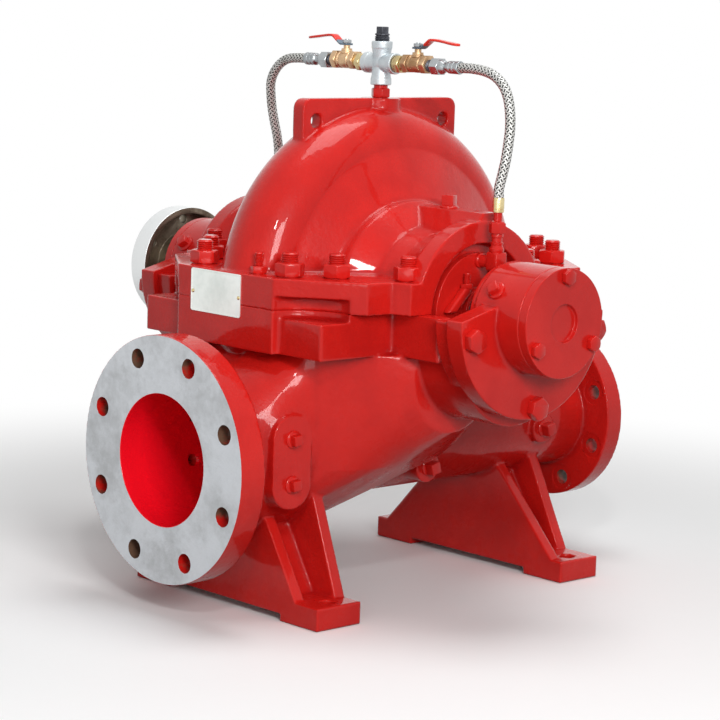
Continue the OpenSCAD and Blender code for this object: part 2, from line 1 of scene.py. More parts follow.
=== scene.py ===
# %% [markdown]
# A split case pump. The casing parts along the shaft's height, so that the top half lifts off the impeller.
# The CAD frame already holds every piece at its size and place, in metres. This lesson gives each piece the
# finish of the real one: cast skin and enamel, machined faces, nuts, plugs, fittings and braided hoses.

# %% Load the frame
import math

import bpy
import numpy as np
from mathutils import Matrix, Vector, kdtree


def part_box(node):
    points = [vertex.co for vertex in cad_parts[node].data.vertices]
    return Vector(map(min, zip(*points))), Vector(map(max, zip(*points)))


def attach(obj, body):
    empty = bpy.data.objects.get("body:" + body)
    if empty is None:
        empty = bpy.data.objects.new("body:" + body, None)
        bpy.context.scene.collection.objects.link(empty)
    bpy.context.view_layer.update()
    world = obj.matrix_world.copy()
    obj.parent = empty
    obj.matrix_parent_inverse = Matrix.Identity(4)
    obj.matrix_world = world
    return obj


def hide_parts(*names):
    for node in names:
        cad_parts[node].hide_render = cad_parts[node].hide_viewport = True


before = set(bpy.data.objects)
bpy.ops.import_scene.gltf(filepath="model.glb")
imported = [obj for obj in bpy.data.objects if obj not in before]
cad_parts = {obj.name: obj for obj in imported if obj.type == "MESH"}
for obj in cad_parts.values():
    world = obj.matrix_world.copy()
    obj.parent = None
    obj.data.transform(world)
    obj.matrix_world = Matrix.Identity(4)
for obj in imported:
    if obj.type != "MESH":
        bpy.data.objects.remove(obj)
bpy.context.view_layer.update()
MM = 0.001

# %% [markdown]
# The camera stands where the photographer stood: to the right of the suction flange, a little above it,
# with a long lens and a slight tilt. A camera could be aimed with a Track To constraint, but the tilt is
# easier to give as a matrix of three directions and a place.

# %% Camera
CAMERA_AZIMUTH = math.radians(47.12)
CAMERA_ELEVATION = math.radians(8.46)
CAMERA_ROLL = math.radians(1.78)
CAMERA_DISTANCE = 3.0072
CAMERA_TARGET = Vector((0, -0.027, 0.2713))
PICTURE_WIDTH_PX = 720
FOCAL_PX = 2488.9
SENSOR_MM = 36


def photo_camera():
    """Camera at the photograph's viewing angle."""
    back = Vector((
        math.sin(CAMERA_AZIMUTH) * math.cos(CAMERA_ELEVATION),
        -math.cos(CAMERA_AZIMUTH) * math.cos(CAMERA_ELEVATION),
        math.sin(CAMERA_ELEVATION),
    ))
    right = Vector((math.cos(CAMERA_AZIMUTH), math.sin(CAMERA_AZIMUTH), 0))
    tilt = Matrix.Rotation(CAMERA_ROLL, 3, back)
    right = tilt @ right
    up = back.cross(right)
    bpy.ops.object.camera_add()
    camera = bpy.context.object
    turn = Matrix((right, up, back)).transposed()
    camera.matrix_world = Matrix.Translation(CAMERA_TARGET + back * CAMERA_DISTANCE) @ turn.to_4x4()
    camera.data.sensor_width = SENSOR_MM
    camera.data.lens = SENSOR_MM * FOCAL_PX / PICTURE_WIDTH_PX
    bpy.context.scene.camera = camera
    return camera


camera = photo_camera()
print("camera at", [round(value, 3) for value in camera.location], "lens", round(camera.data.lens, 1))

# %% [markdown]
# Shader nodes take many lines to place one by one. These small helpers place a node, set it and wire it in
# one call.

# %% Shader helpers
def wire(tree, socket, value):
    """Feeds a socket with another node's output, or sets it to a plain value."""
    if isinstance(value, bpy.types.NodeSocket):
        tree.links.new(value, socket)
    else:
        socket.default_value = value


def place(tree, kind, feeds=None, **settings):
    """Places a shader node, sets its properties and feeds its inputs by name."""
    made = tree.nodes.new(kind)
    for key, value in settings.items():
        setattr(made, key, value)
    for key, value in (feeds or {}).items():
        wire(tree, made.inputs[key], value)
    return made


def calc(tree, operation, *values):
    """One Math node; gives its output."""
    made = tree.nodes.new("ShaderNodeMath")
    made.operation = operation
    for socket, value in zip(made.inputs, values):
        wire(tree, socket, value)
    return made.outputs[0]


def ease(tree, value, low, high, start=0.0, end=1.0):
    """Smooth step from start to end while value goes from low to high."""
    made = place(tree, "ShaderNodeMapRange", interpolation_type="SMOOTHSTEP")
    for socket, number in zip(made.inputs, (value, low, high, start, end)):
        wire(tree, socket, number)
    return made.outputs[0]


def tint(tree, share, first, second, blend="MIX"):
    """Mixes two colours by a share."""
    made = place(tree, "ShaderNodeMix", data_type="RGBA", blend_type=blend)
    for index, value in ((0, share), (6, first), (7, second)):
        wire(tree, made.inputs[index], value)
    return made.outputs[2]


def noise(tree, where, scale, detail=3.0, rough=0.55):
    """Noise over a place; gives its value."""
    feeds = {"Vector": where, "Scale": scale, "Detail": detail, "Roughness": rough}
    return place(tree, "ShaderNodeTexNoise", feeds).outputs[0]


print("node helpers ready")

# %% [markdown]
# Finishes that several materials share become node groups, which work like functions: named inputs go in,
# and colours, roughness and heights that change over the surface come out. A colour is given by its screen
# values and turned into the linear numbers that a shader reckons with.

# %% Groups and materials
def new_group(name, inputs, outputs):
    """Empty shader node group with named sockets; gives the tree, its input node and its output node."""
    tree = bpy.data.node_groups.new(name, "ShaderNodeTree")
    for socket, kind in inputs:
        tree.interface.new_socket(socket, in_out="INPUT", socket_type="NodeSocket" + kind)
    for socket, kind in outputs:
        tree.interface.new_socket(socket, in_out="OUTPUT", socket_type="NodeSocket" + kind)
    return tree, tree.nodes.new("NodeGroupInput"), tree.nodes.new("NodeGroupOutput")


def use_group(tree, group, feeds):
    """Places a shared group in a material and feeds its inputs by name."""
    made = tree.nodes.new("ShaderNodeGroup")
    made.node_tree = group
    for key, value in feeds.items():
        wire(tree, made.inputs[key], value)
    return made.outputs


def new_material(name, **shader_values):
    """Material with a Principled shader; gives it with its tree and shader."""
    material = bpy.data.materials.new(name)
    material.use_nodes = True
    tree = material.node_tree
    shader = tree.nodes["Principled BSDF"]
    for key, value in shader_values.items():
        shader.inputs[key.replace("_", " ")].default_value = value
    return material, tree, shader


def rgb(red, green, blue):
    """Colour from screen values 0 to 255, as the shader's linear numbers."""
    linear = []
    for value in (red, green, blue):
        share = value / 255
        linear.append(share / 12.92 if share < 0.04045 else ((share + 0.055) / 1.055) ** 2.4)
    return (*linear, 1.0)


def emboss(tree, shader, height, distance, strength=1.0):
    """Bump from a height field, wired to the shader's normal."""
    bump = place(tree, "ShaderNodeBump", {"Height": height, "Distance": distance, "Strength": strength})
    tree.links.new(bump.outputs[0], shader.inputs["Normal"])


print("group and material helpers ready")

# %% [markdown]
# Enamel on a casting is one thick glossy film. It is even in hue, with shade painted a little darker into
# hollow
#  corners, and it shows the sand's roughness below and a fine orange peel on top. The film is a group,
#  because castings, nuts and fittings all carry it. The hollow corners come from an attribute of the mesh.

# %% Paint film group
def paint_film_group():
    """Colour, roughness and height of brushed red enamel."""
    tree, given, result = new_group(
        "paint_film",
        [("Paint", "Color"), ("Shade", "Color"), ("Hollow", "Float"), ("Sand", "Float")],
        [("Color", "Color"), ("Roughness", "Float"), ("Height", "Float")],
    )
    where = place(tree, "ShaderNodeTexCoord").outputs["Object"]
    cloud = noise(tree, where, 7.0, 4.0)
    patch = noise(tree, where, 38.0, 3.0)
    grit = noise(tree, where, 190.0, 4.0, 0.6)
    peel = noise(tree, where, 620.0, 2.0)
    blotch = calc(tree, "ADD", cloud, calc(tree, "MULTIPLY", patch, 0.45))
    mottle = ease(tree, blotch, 0.52, 0.95, 0.0, 0.30)
    # Painted shade: the paint turns darker toward the shaded red in hollow corners.
    corner_shade = calc(tree, "MULTIPLY", given.outputs["Hollow"], 0.55)
    share = calc(tree, "MINIMUM", calc(tree, "ADD", mottle, corner_shade), 0.85)
    color = tint(tree, share, given.outputs["Paint"], given.outputs["Shade"])
    grains = calc(tree, "ADD", grit, calc(tree, "MULTIPLY", patch, 0.8))
    sand = calc(tree, "MULTIPLY", grains, given.outputs["Sand"])
    height = calc(tree, "ADD", sand, calc(tree, "MULTIPLY", peel, 0.16))
    wire(tree, result.inputs["Color"], color)
    wire(tree, result.inputs["Roughness"], ease(tree, patch, 0.3, 0.75, 0.24, 0.40))
    wire(tree, result.inputs["Height"], height)
    return tree


paint_film = paint_film_group()
print("group", paint_film.name, "nodes", len(paint_film.nodes))

# %% [markdown]
# Bare metal is the other shared skin: a bright colour with duller stains, and fine scratches. Zinc, brass,
# steel and machined iron differ only in their colours, gloss and grain, so they share one group too.

# %% Bare metal group
def bare_metal_group():
    """Colour, roughness and height of bare metal with stains and fine grain."""
    tree, given, result = new_group(
        "bare_metal",
        [("Bright", "Color"), ("Stain", "Color"), ("Gloss", "Float"), ("Scale", "Float")],
        [("Color", "Color"), ("Roughness", "Float"), ("Height", "Float")],
    )
    where = place(tree, "ShaderNodeTexCoord").outputs["Object"]
    cloud = noise(tree, where, calc(tree, "MULTIPLY", given.outputs["Scale"], 16.0), 5.0, 0.62)
    speck = noise(tree, where, calc(tree, "MULTIPLY", given.outputs["Scale"], 150.0), 3.0)
    grain = noise(tree, where, calc(tree, "MULTIPLY", given.outputs["Scale"], 620.0), 2.0)
    stain = ease(tree, calc(tree, "ADD", cloud, calc(tree, "MULTIPLY", speck, 0.25)), 0.50, 0.86)
    color = tint(tree, stain, given.outputs["Bright"], given.outputs["Stain"])
    spread = calc(tree, "ADD", calc(tree, "MULTIPLY", stain, 0.14), calc(tree, "MULTIPLY", grain, 0.10))
    wire(tree, result.inputs["Color"], color)
    wire(tree, result.inputs["Roughness"], calc(tree, "ADD", given.outputs["Gloss"], spread))
    wire(tree, result.inputs["Height"], calc(tree, "ADD", grain, speck))
    return tree


bare_metal = bare_metal_group()
print("group", bare_metal.name, "nodes", len(bare_metal.nodes))

# %% [markdown]
# The enamel's two reds are the lit and the shaded hue of the photograph's paint. The hardware wears the
# same film, laid thicker, so its sand texture is turned down. A clear coat gives the small sharp glints of
# wet enamel: its low index keeps it clear when seen straight on, and it still turns pale at a flat angle.

# %% Enamel for fasteners and fittings
PAINT_RED = rgb(208, 32, 26)
PAINT_SHADE = rgb(146, 13, 16)
COAT = 0.75
COAT_IOR = 1.3


def enamel(name, sand, bump_mm, paint=PAINT_RED, shade=PAINT_SHADE):
    """Red enamel with its film's bump; gives material, tree, shader and the film's outputs."""
    material, tree, shader = new_material(
        name, Coat_Weight=COAT, Coat_Roughness=0.06, Coat_IOR=COAT_IOR, Specular_IOR_Level=0.08
    )
    hollow = place(tree, "ShaderNodeAttribute", attribute_name="hollow").outputs["Fac"]
    film = use_group(tree, paint_film, {"Paint": paint, "Shade": shade, "Hollow": hollow, "Sand": sand})
    wire(tree, shader.inputs["Base Color"], film["Color"])
    wire(tree, shader.inputs["Roughness"], film["Roughness"])
    emboss(tree, shader, film["Height"], bump_mm * MM)
    return material, tree, shader, film


enamel_hardware = enamel("enamel_hardware", 0.25, 0.35)[0]
print("material", enamel_hardware.name)

# %% [markdown]
# Zinc plate, galvanised iron, brass and blackened steel are the fittings' finishes. Each one is the bare
# metal group with its own two colours; hot dip galvanising also has frosty crystals, which a Voronoi
# pattern gives.

# %% Metals
def metal(name, bright, stain, gloss, scale=1.0, bump_mm=0.12, metallic=1.0):
    """Bare metal of two colours; gives material, tree, shader and the group's outputs."""
    material, tree, shader = new_material(name, Metallic=metallic)
    skin = use_group(tree, bare_metal, {"Bright": bright, "Stain": stain, "Gloss": gloss, "Scale": scale})
    wire(tree, shader.inputs["Base Color"], skin["Color"])
    wire(tree, shader.inputs["Roughness"], skin["Roughness"])
    emboss(tree, shader, skin["Height"], bump_mm * MM)
    return material, tree, shader, skin


def galvanised_iron():
    """Frosted zinc crystals over the bare metal skin."""
    bright = rgb(200, 206, 208)
    stain = rgb(182, 189, 193)
    material, tree, shader, skin = metal("galvanised_iron", bright, stain, 0.40, 1.2, 0.1)
    where = place(tree, "ShaderNodeTexCoord").outputs["Object"]
    crystal = place(tree, "ShaderNodeTexVoronoi", {"Vector": where, "Scale": 240.0}).outputs["Color"]
    grey = place(tree, "ShaderNodeRGBToBW", {"Color": crystal}).outputs[0]
    frosted = tint(tree, calc(tree, "MULTIPLY", grey, 0.25), skin["Color"], rgb(172, 180, 186))
    wire(tree, shader.inputs["Base Color"], frosted)
    return material


zinc_plate = metal("zinc_plate", rgb(176, 180, 182), rgb(132, 137, 140), 0.26, 0.8, 0.06)[0]
yellow_zinc = metal("yellow_zinc", rgb(212, 194, 146), rgb(150, 124, 86), 0.22, 1.2, 0.08)[0]
forged_brass = metal("forged_brass", rgb(206, 174, 138), rgb(158, 124, 90), 0.36, 1.6, 0.15)[0]
bright_brass = metal("bright_brass", rgb(226, 208, 158), rgb(176, 148, 96), 0.18, 2.0)[0]
black_steel = metal("black_steel", rgb(104, 106, 114), rgb(52, 54, 60), 0.34, 1.5, 0.08, 0.55)[0]
lever_steel = metal("lever_steel", rgb(112, 130, 144), rgb(84, 102, 118), 0.36, 1.2, 0.06, 0.2)[0]
turned_steel = metal("turned_steel", rgb(176, 176, 174), rgb(112, 108, 102), 0.28, 1.5)[0]
plate_metal = metal("plate_metal", rgb(236, 240, 236), rgb(218, 224, 220), 0.40, 0.8, 0.05)[0]
galvanised = galvanised_iron()
print("metals", [m.name for m in bpy.data.materials])

# %% [markdown]
# The flush hoses carry clean water from the top of the volute to both seals. Each is a rubber tube under a
# braid of steel wire. A curve with a round bevel would be smooth, and the braid is what one sees, so the
# wall is built ring by ring along the route, and every point stands out by as much as the wire there does.
# The same height is kept as an attribute, so that the finish can darken the gaps between wires, for the
# rubber below and as painted shade.

# %% Hose routes
STEPS_A_SPAN = 24
OUTBOARD_ROUTE = (
    (134, -7, 628), (143, -7, 628), (152, -7, 628), (172, -7, 626), (190, -8, 621),
    (205, -9, 611), (215, -11, 598), (221, -13, 582), (225, -16, 564), (226, -19, 546),
    (226, -22, 528), (225, -23.5, 519), (224, -25, 510), (222, -27, 496), (222, -27, 486),
)
DRIVE_ROUTE = (
    (-134, -7, 628), (-152, -7, 628), (-170, -7, 626), (-186, -6, 619), (-198, -5, 608),
    (-206, -3, 595), (-210, 1, 580), (-213, 6, 563), (-214, 11, 546), (-214, 16, 529),
    (-215, 20, 512), (-217, 22, 496), (-220, 22, 480), (-222, 22, 467), (-222, 22, 458),
)


def smooth_line(route, spacing):
    """Evenly spaced points on a smooth curve through a route in millimetres, and the curve's length."""
    knots = [Vector(point) * MM for point in route]
    knots = [knots[0] * 2 - knots[1], *knots, knots[-1] * 2 - knots[-2]]
    dense = []
    for a, b, c, d in zip(knots, knots[1:], knots[2:], knots[3:]):
        for step in range(STEPS_A_SPAN):
            t = step / STEPS_A_SPAN
            bend = (a * 2 - b * 5 + c * 4 - d) * t * t + (b * 3 - a - c * 3 + d) * t ** 3
            dense.append((b * 2 + (c - a) * t + bend) * 0.5)
    dense.append(knots[-2])
    walked = [0.0]
    for a, b in zip(dense, dense[1:]):
        walked.append(walked[-1] + (b - a).length)
    count = round(walked[-1] / spacing)
    along = np.linspace(0, walked[-1], count + 1)
    axes = [np.interp(along, walked, [point[axis] for point in dense]) for axis in range(3)]
    return [Vector(point) for point in zip(*axes)], walked[-1]


line, length = smooth_line(OUTBOARD_ROUTE, 0.004)
print("outboard hose", len(line), "points", round(length * 1000, 1), "mm")

# %% [markdown]
# A plain braid has as many wires winding left as right, and each passes over and under the next. Two
# phases, one for each winding, give at any point how near the middle of a wire it is and which wire lies on
# top.

# %% Braided hoses
WIRES = 6
WIRE_LEAD = 0.035
WIRE_SHARE = 0.84
RING_SPACING = 0.0007
RING_POINTS = 64
CORE_RADIUS = 0.0054
WIRE_RISE = 0.0007


def add_piece(name, mesh):
    """New object with a mesh, in the scene."""
    piece = bpy.data.objects.new(name, mesh)
    bpy.context.scene.collection.objects.link(piece)
    return piece


def braid_height(turn, walked):
    """Height of the braid, 0 in a gap to 1 on a crown, at a share of a turn and a way along the hose."""
    left = WIRES * (turn + walked / WIRE_LEAD)
    right = WIRES * (turn - walked / WIRE_LEAD)
    over = 0.5 + 0.5 * math.cos(math.pi * left) * math.cos(math.pi * right)
    left_wire = math.sqrt(max(0.0, 1 - ((2 * (left % 1) - 1) / WIRE_SHARE) ** 2))
    right_wire = math.sqrt(max(0.0, 1 - ((2 * (right % 1) - 1) / WIRE_SHARE) ** 2))
    return max(left_wire * (0.35 + 0.65 * over), right_wire * (1 - 0.65 * over))


def braided_hose(name, route):
    """Hose with a woven wall along a route; gives the piece, its centreline and its length."""
    points, full = smooth_line(route, RING_SPACING)
    side = Vector((0, 1, 0))
    rings = []
    heights = []
    for index, point in enumerate(points):
        ahead = points[min(index + 1, len(points) - 1)] - points[max(index - 1, 0)]
        ahead.normalize()
        side = (side - ahead * side.dot(ahead)).normalized()
        other = ahead.cross(side)
        for step in range(RING_POINTS):
            angle = 2 * math.pi * step / RING_POINTS
            height = braid_height(step / RING_POINTS, index * RING_SPACING)
            radius = CORE_RADIUS + WIRE_RISE * height
            rings.append(point + (side * math.cos(angle) + other * math.sin(angle)) * radius)
            heights.append(height)
    walls = []
    for row in range(len(points) - 1):
        low = row * RING_POINTS
        for step in range(RING_POINTS):
            near = (step + 1) % RING_POINTS
            walls.append((low + step, low + near, low + RING_POINTS + near, low + RING_POINTS + step))
    last = (len(points) - 1) * RING_POINTS
    caps = [tuple(reversed(range(RING_POINTS))), tuple(range(last, last + RING_POINTS))]
    mesh = bpy.data.meshes.new(name)
    mesh.from_pydata(rings, [], walls + caps)
    mesh.attributes.new("weave", "FLOAT", "POINT").data.foreach_set("value", heights)
    mesh.shade_smooth()
    return add_piece(name, mesh), points, full


print("wires each way", WIRES, "lead", WIRE_LEAD, "m")

# %% [markdown]
# The wires are bright on their crowns. The gaps between them are dark, for the rubber below and as painted
# shade.

# %% Hoses in place
def braid_steel():
    """Bright wires with dark gaps, partly rubber and partly painted shade, from the weave's own height."""
    bright = rgb(250, 250, 246)
    stain = rgb(222, 222, 216)
    material, tree, shader, skin = metal("braid_steel", bright, stain, 0.30, 3.0, 0.12, 0.35)
    weave = place(tree, "ShaderNodeAttribute", attribute_name="weave").outputs["Fac"]
    crown = ease(tree, weave, 0.50, 0.80)
    # The near-black gap colour is partly the rubber and partly painted shade between the wires.
    wire(tree, shader.inputs["Base Color"], tint(tree, crown, rgb(36, 36, 34), skin["Color"]))
    return material


braid = braid_steel()
for side, route in (("outboard", OUTBOARD_ROUTE), ("drive", DRIVE_ROUTE)):
    hose, points, length = braided_hose("braided_hose_" + side, route)
    hose.data.materials.append(braid)
    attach(hose, "root")
    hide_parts("flush_hose_" + side)
    print(hose.name, "length", round(length * 1000), "mm, faces", len(hose.data.polygons))

# %% [markdown]
# Small parts are turned or milled from bar. The lathe helper starts from a disc and extrudes it step by
# step, with a new radius at each step, the way a tool moves along the work. A hexagon bar is a six-sided
# prism cut by a turned barrel, which leaves the curved corners of a real nut. Pieces are made upright at
# the origin, then aimed and moved as meshes, so that their objects stay unturned.

# %% Lathe and bar helpers
TURNED_SHARE = 0.475
TURNED_SLOPE = 0.62
PAST_CORNER = 1.02


def deselect():
    """Leaves edit mode and clears the selection."""
    if bpy.context.mode != "OBJECT":
        bpy.ops.object.mode_set(mode="OBJECT")
    bpy.ops.object.select_all(action="DESELECT")


def choose(*pieces):
    """Selects only these pieces; the last one is active."""
    deselect()
    for piece in pieces:
        piece.select_set(True)
    bpy.context.view_layer.objects.active = pieces[-1]


def pick(piece, parts, wanted):
    """Enters edit mode with only those "edges" or "polygons" selected that a test wants."""
    choose(piece)
    bpy.context.tool_settings.mesh_select_mode = (False, parts == "edges", parts == "polygons")
    bpy.ops.object.mode_set(mode="EDIT")
    bpy.ops.mesh.select_all(action="DESELECT")
    bpy.ops.object.mode_set(mode="OBJECT")
    for part in getattr(piece.data, parts):
        part.select = wanted(part)
    bpy.ops.object.mode_set(mode="EDIT")


def lathe(name, steps, sides=40):
    """Turns a solid along +Z through (height, radius) steps in millimetres."""
    deselect()
    height, radius = steps[0]
    bpy.ops.mesh.primitive_circle_add(vertices=sides, radius=radius * MM, fill_type="NGON")
    piece = bpy.context.object
    piece.name = name
    bpy.ops.object.mode_set(mode="EDIT")
    bpy.ops.mesh.select_all(action="SELECT")
    bpy.ops.transform.translate(value=(0, 0, height * MM))
    for next_height, next_radius in steps[1:]:
        rise = (next_height - height) * MM
        growth = next_radius / radius
        bpy.ops.mesh.extrude_region_move(TRANSFORM_OT_translate={"value": (0, 0, rise)})
        bpy.ops.transform.resize(value=(growth, growth, 1), center_override=(0, 0, next_height * MM))
        height, radius = next_height, next_radius
    bpy.ops.mesh.select_all(action="SELECT")
    bpy.ops.mesh.normals_make_consistent(inside=False)
    bpy.ops.object.mode_set(mode="OBJECT")
    return piece


def apply_boolean(piece, tool, operation, solver="EXACT"):
    """Cuts or trims a piece with a tool, which is used up."""
    choose(piece)
    cut = piece.modifiers.new("cut", "BOOLEAN")
    cut.object = tool
    cut.operation = operation
    cut.solver = solver
    bpy.ops.object.modifier_apply(modifier=cut.name)
    bpy.data.objects.remove(tool)
    return piece


def hex_bar(name, across, start, end, turned_ends=(True, True)):
    """Hexagon bar along +Z, in millimetres, with its corners turned off at the chosen ends."""
    deselect()
    corner = across / math.sqrt(3)
    bpy.ops.mesh.primitive_cylinder_add(
        vertices=6, radius=corner * MM, depth=(end - start) * MM, location=(0, 0, (start + end) / 2 * MM)
    )
    bar = bpy.context.object
    bar.name = name
    bpy.ops.object.transform_apply(location=True)
    narrow = across * TURNED_SHARE
    wide = corner * PAST_CORNER
    slope = (corner - narrow) * TURNED_SLOPE
    low = (start, narrow if turned_ends[0] else wide)
    high = (end, narrow if turned_ends[1] else wide)
    barrel = lathe("barrel", [low, (start + slope, wide), (end - slope, wide), high], 48)
    return apply_boolean(bar, barrel, "INTERSECT")


def square_bar(name, across, start, end, edge):
    """Square bar along +Z, in millimetres, with its edges eased."""
    deselect()
    bpy.ops.mesh.primitive_cube_add(size=1, location=(0, 0, (start + end) / 2 * MM))
    bar = bpy.context.object
    bar.name = name
    bar.scale = (across * MM, across * MM, (end - start) * MM)
    bpy.ops.object.transform_apply(location=True, scale=True)
    bpy.ops.object.mode_set(mode="EDIT")
    bpy.ops.mesh.select_all(action="SELECT")
    bpy.ops.mesh.bevel(offset=edge * MM, segments=3, affect="EDGES")
    bpy.ops.object.mode_set(mode="OBJECT")
    return bar


def thread(start, end, radius, pitch):
    """Steps of a thread's crests and roots for the lathe."""
    steps = []
    turns = int((end - start) / pitch)
    root = radius - 0.55 * pitch
    for turn in range(turns):
        low = start + turn * pitch
        steps += [(low, root), (low + 0.38 * pitch, radius), (low + 0.62 * pitch, radius)]
    steps += [(start + turns * pitch, root), (end, root - 0.3 * pitch)]
    return steps


print("lathe and bar helpers ready")

# %% [markdown]
# More helpers finish a piece: they round its edges, smooth it, join its parts, aim its mesh and copy it to
# many places. The last ones give it its finish, the body that it rides on and the nodes that it stands for.

# %% Finishing helpers
def ease_edges(piece, width, segments=2, angle=35):
    """Rounds the sharp edges of a piece."""
    choose(piece)
    rounding = piece.modifiers.new("edges", "BEVEL")
    rounding.width = width * MM
    rounding.segments = segments
    rounding.limit_method = "ANGLE"
    rounding.angle_limit = math.radians(angle)
    bpy.ops.object.modifier_apply(modifier=rounding.name)
    return piece


def soften(piece, passes, group=""):
    """Smooths a piece, all over or only where a vertex group has weight."""
    choose(piece)
    smoothing = piece.modifiers.new("soften", "SMOOTH")
    smoothing.factor = 0.5
    smoothing.iterations = passes
    smoothing.vertex_group = group
    bpy.ops.object.modifier_apply(modifier=smoothing.name)
    return piece


def weld(name, *pieces):
    """Joins pieces into one object with a new name."""
    choose(*pieces)
    if len(pieces) > 1:
        bpy.ops.object.join()
    joined = bpy.context.view_layer.objects.active
    joined.name = name
    joined.data.name = name
    return joined


def aim(piece, start, direction):
    """Turns a piece's mesh from +Z to a direction and moves it to its start, in metres."""
    turn = Vector((0, 0, 1)).rotation_difference(Vector(direction)).to_matrix().to_4x4()
    piece.data.transform(Matrix.Translation(Vector(start)) @ turn)
    piece.data.update()
    return piece


def copies(pattern, name, places):
    """Copies a pattern to (start, direction, turn about its own axis) places, joined into one piece."""
    made = []
    for start, direction, spin in places:
        mesh = pattern.data.copy()
        mesh.transform(Matrix.Rotation(math.radians(spin), 4, "Z"))
        made.append(aim(add_piece(name, mesh), start, direction))
    return weld(name, *made)


def dress(piece, material, body, slot, *nodes, angle=35):
    """Gives a piece its finish, its shading, the body it rides on and the nodes that it stands for."""
    if material is not None:
        piece.data.materials.clear()
        piece.data.materials.append(material)
    choose(piece)
    bpy.ops.object.shade_smooth_by_angle(angle=math.radians(angle))
    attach(piece, body)
    if nodes:
        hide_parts(*nodes)
    return piece


def set_out(pattern, name, places, material=enamel_hardware, slot="casing_paint"):
    """Copies a pattern to its places as one finished piece on the casing; the pattern is used up."""
    piece = dress(copies(pattern, name, places), material, "root", slot)
    bpy.data.objects.remove(pattern)
    return piece


def sizes(node):
    """A node's middle and its size along each axis, in metres."""
    low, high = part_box(node)
    return (low + high) / 2, high - low


# %% [markdown]
# Twelve studs clamp the halves of the casing together. Each has a hexagon nut with a few turns of thread
# above it, all under the same paint. One nut is modelled and copied round the flange, with each copy turned
# a little differently, as spanners leave them.

# %% Casing studs and nuts
FLANGE_TOP = 0.391
SHAFT_Y = -0.027
SUNK = 0.0002
STUD_PLACES = ((76, -183), (112, -144), (172, -90), (63, 235), (118, 205), (178, 96))


def nut_on_stud(name, across, nut_height, stud_radius, stud_end, pitch):
    """Hexagon nut with its washer face and the threaded end of its stud, from 0 upward."""
    nut = hex_bar("nut", across, 0.6, nut_height)
    ease_edges(nut, 0.35)
    collar = lathe("collar", [(0, across * 0.46), (0.9, across * 0.46)])
    screw = thread(nut_height - 1, stud_end, stud_radius, pitch)
    stud = lathe("stud", [(nut_height - 2, stud_radius * 0.9), *screw], 28)
    return weld(name, nut, collar, stud)


big_nut = nut_on_stud("casing_nut", 30, 16, 9.7, 28, 2.4)
places = []
for index, (x, y) in enumerate(STUD_PLACES):
    for side in (1, -1):
        start = (side * x * MM, y * MM + SHAFT_Y, FLANGE_TOP - SUNK)
        places.append((start, (0, 0, 1), 17 * index + 31 * side))
casing_nuts = set_out(big_nut, "casing_nuts", places)
print("casing nuts", len(places), "faces", len(casing_nuts.data.polygons))

# %% [markdown]
# A slim jack bolt stands at the suction end: screwed down, it forces the halves apart. Beside the shaft, a
# short stud with a nut holds each gland clip. Both are the nut pattern again at smaller sizes.

# %% Jack bolt and clip nuts
JACK_BOLT = Vector((0.037, -0.223, FLANGE_TOP - SUNK))
CLIP_STUD_Y = 0.024
CLIP_SEAT = 0.006
small_nut = nut_on_stud("jack_bolt", 17, 9, 4.8, 25, 1.6)
set_out(small_nut, "jack_bolts", [(JACK_BOLT, (0, 0, 1), 12)])
clip_nut = nut_on_stud("clip_nut", 13, 7, 4.2, 19, 1.4)
clip_places = []
for side in ("outboard", "drive"):
    middle, size = sizes("gland_clips_" + side)
    for across in (-1, 1):
        start = (middle.x, middle.y + across * CLIP_STUD_Y, middle.z + size.z / 2 - CLIP_SEAT)
        clip_places.append((start, (0, 0, 1), 20 * across))
set_out(clip_nut, "clip_nuts", clip_places)
print("jack bolt and", len(clip_places), "clip nuts")

# %% [markdown]
# Hexagon bolts hold the bearing housings to the casing's arms and the covers to the housings. A bolt head
# has one turned end and a washer face under it.

# %% Housing and cover bolts
HOUSING_BOLTS = ((-97.5, -18), (6, -102), (97.5, -18))
HOUSING_FACE_X = 0.2848
COVER_BOLT_RADIUS = 0.052
COVER_BOLT_ANGLES = (90, 211, 331)


def bolt_head(name, across, head_height):
    """Hexagon bolt head with its washer face, from 0 upward."""
    head = hex_bar("head", across, 0.8, head_height, (False, True))
    ease_edges(head, 0.35)
    face = lathe("face", [(0, across * 0.47), (1.0, across * 0.47)])
    return weld(name, head, face)


housing_bolt = bolt_head("housing_bolt", 24, 11)
cover_bolt = bolt_head("cover_bolt", 16, 7.5)
shaft_middle = sizes("shaft")[0]
housing_places = []
cover_places = []
for side, sign in (("outboard", 1), ("drive", -1)):
    for y, z in HOUSING_BOLTS:
        start = (sign * HOUSING_FACE_X, shaft_middle.y + y * MM, shaft_middle.z + z * MM)
        housing_places.append((start, (sign, 0, 0), 11 + y))
    low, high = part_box("bearing_cover_" + side)
    cover_face = high.x - SUNK if sign > 0 else low.x + SUNK
    for angle in COVER_BOLT_ANGLES:
        turn = math.radians(angle)
        start = (
            cover_face,
            shaft_middle.y + COVER_BOLT_RADIUS * math.cos(turn),
            shaft_middle.z + COVER_BOLT_RADIUS * math.sin(turn),
        )
        cover_places.append((start, (sign, 0, 0), angle))
set_out(housing_bolt, "housing_bolts", housing_places)
set_out(cover_bolt, "cover_bolts", cover_places)
print("housing bolts", len(housing_places), "cover bolts", len(cover_places))

# %% [markdown]
# Square-headed pipe plugs close the gauge tappings, the drains, the arm pads and the bearing oil holes. A
# plug is a turned collar with a square bar on top, whose edges the paint has rounded.

# %% Pipe plugs
BORE_HEIGHT = 0.180
GAUGE_FACE_X = 0.107
GAUGE_Y = -0.225
GAUGE_HEIGHTS = (0.158, 0.210)
DRAIN_PLACES = ((0.020, 0.147), (0.222, 0.175))
DRAIN_FACE_X = 0.076
PAD_PLUG = Vector((0.129, -0.013, 0.466))
OIL_PLUG_X = 0.275
OIL_PLUG_ANGLE = math.radians(147)


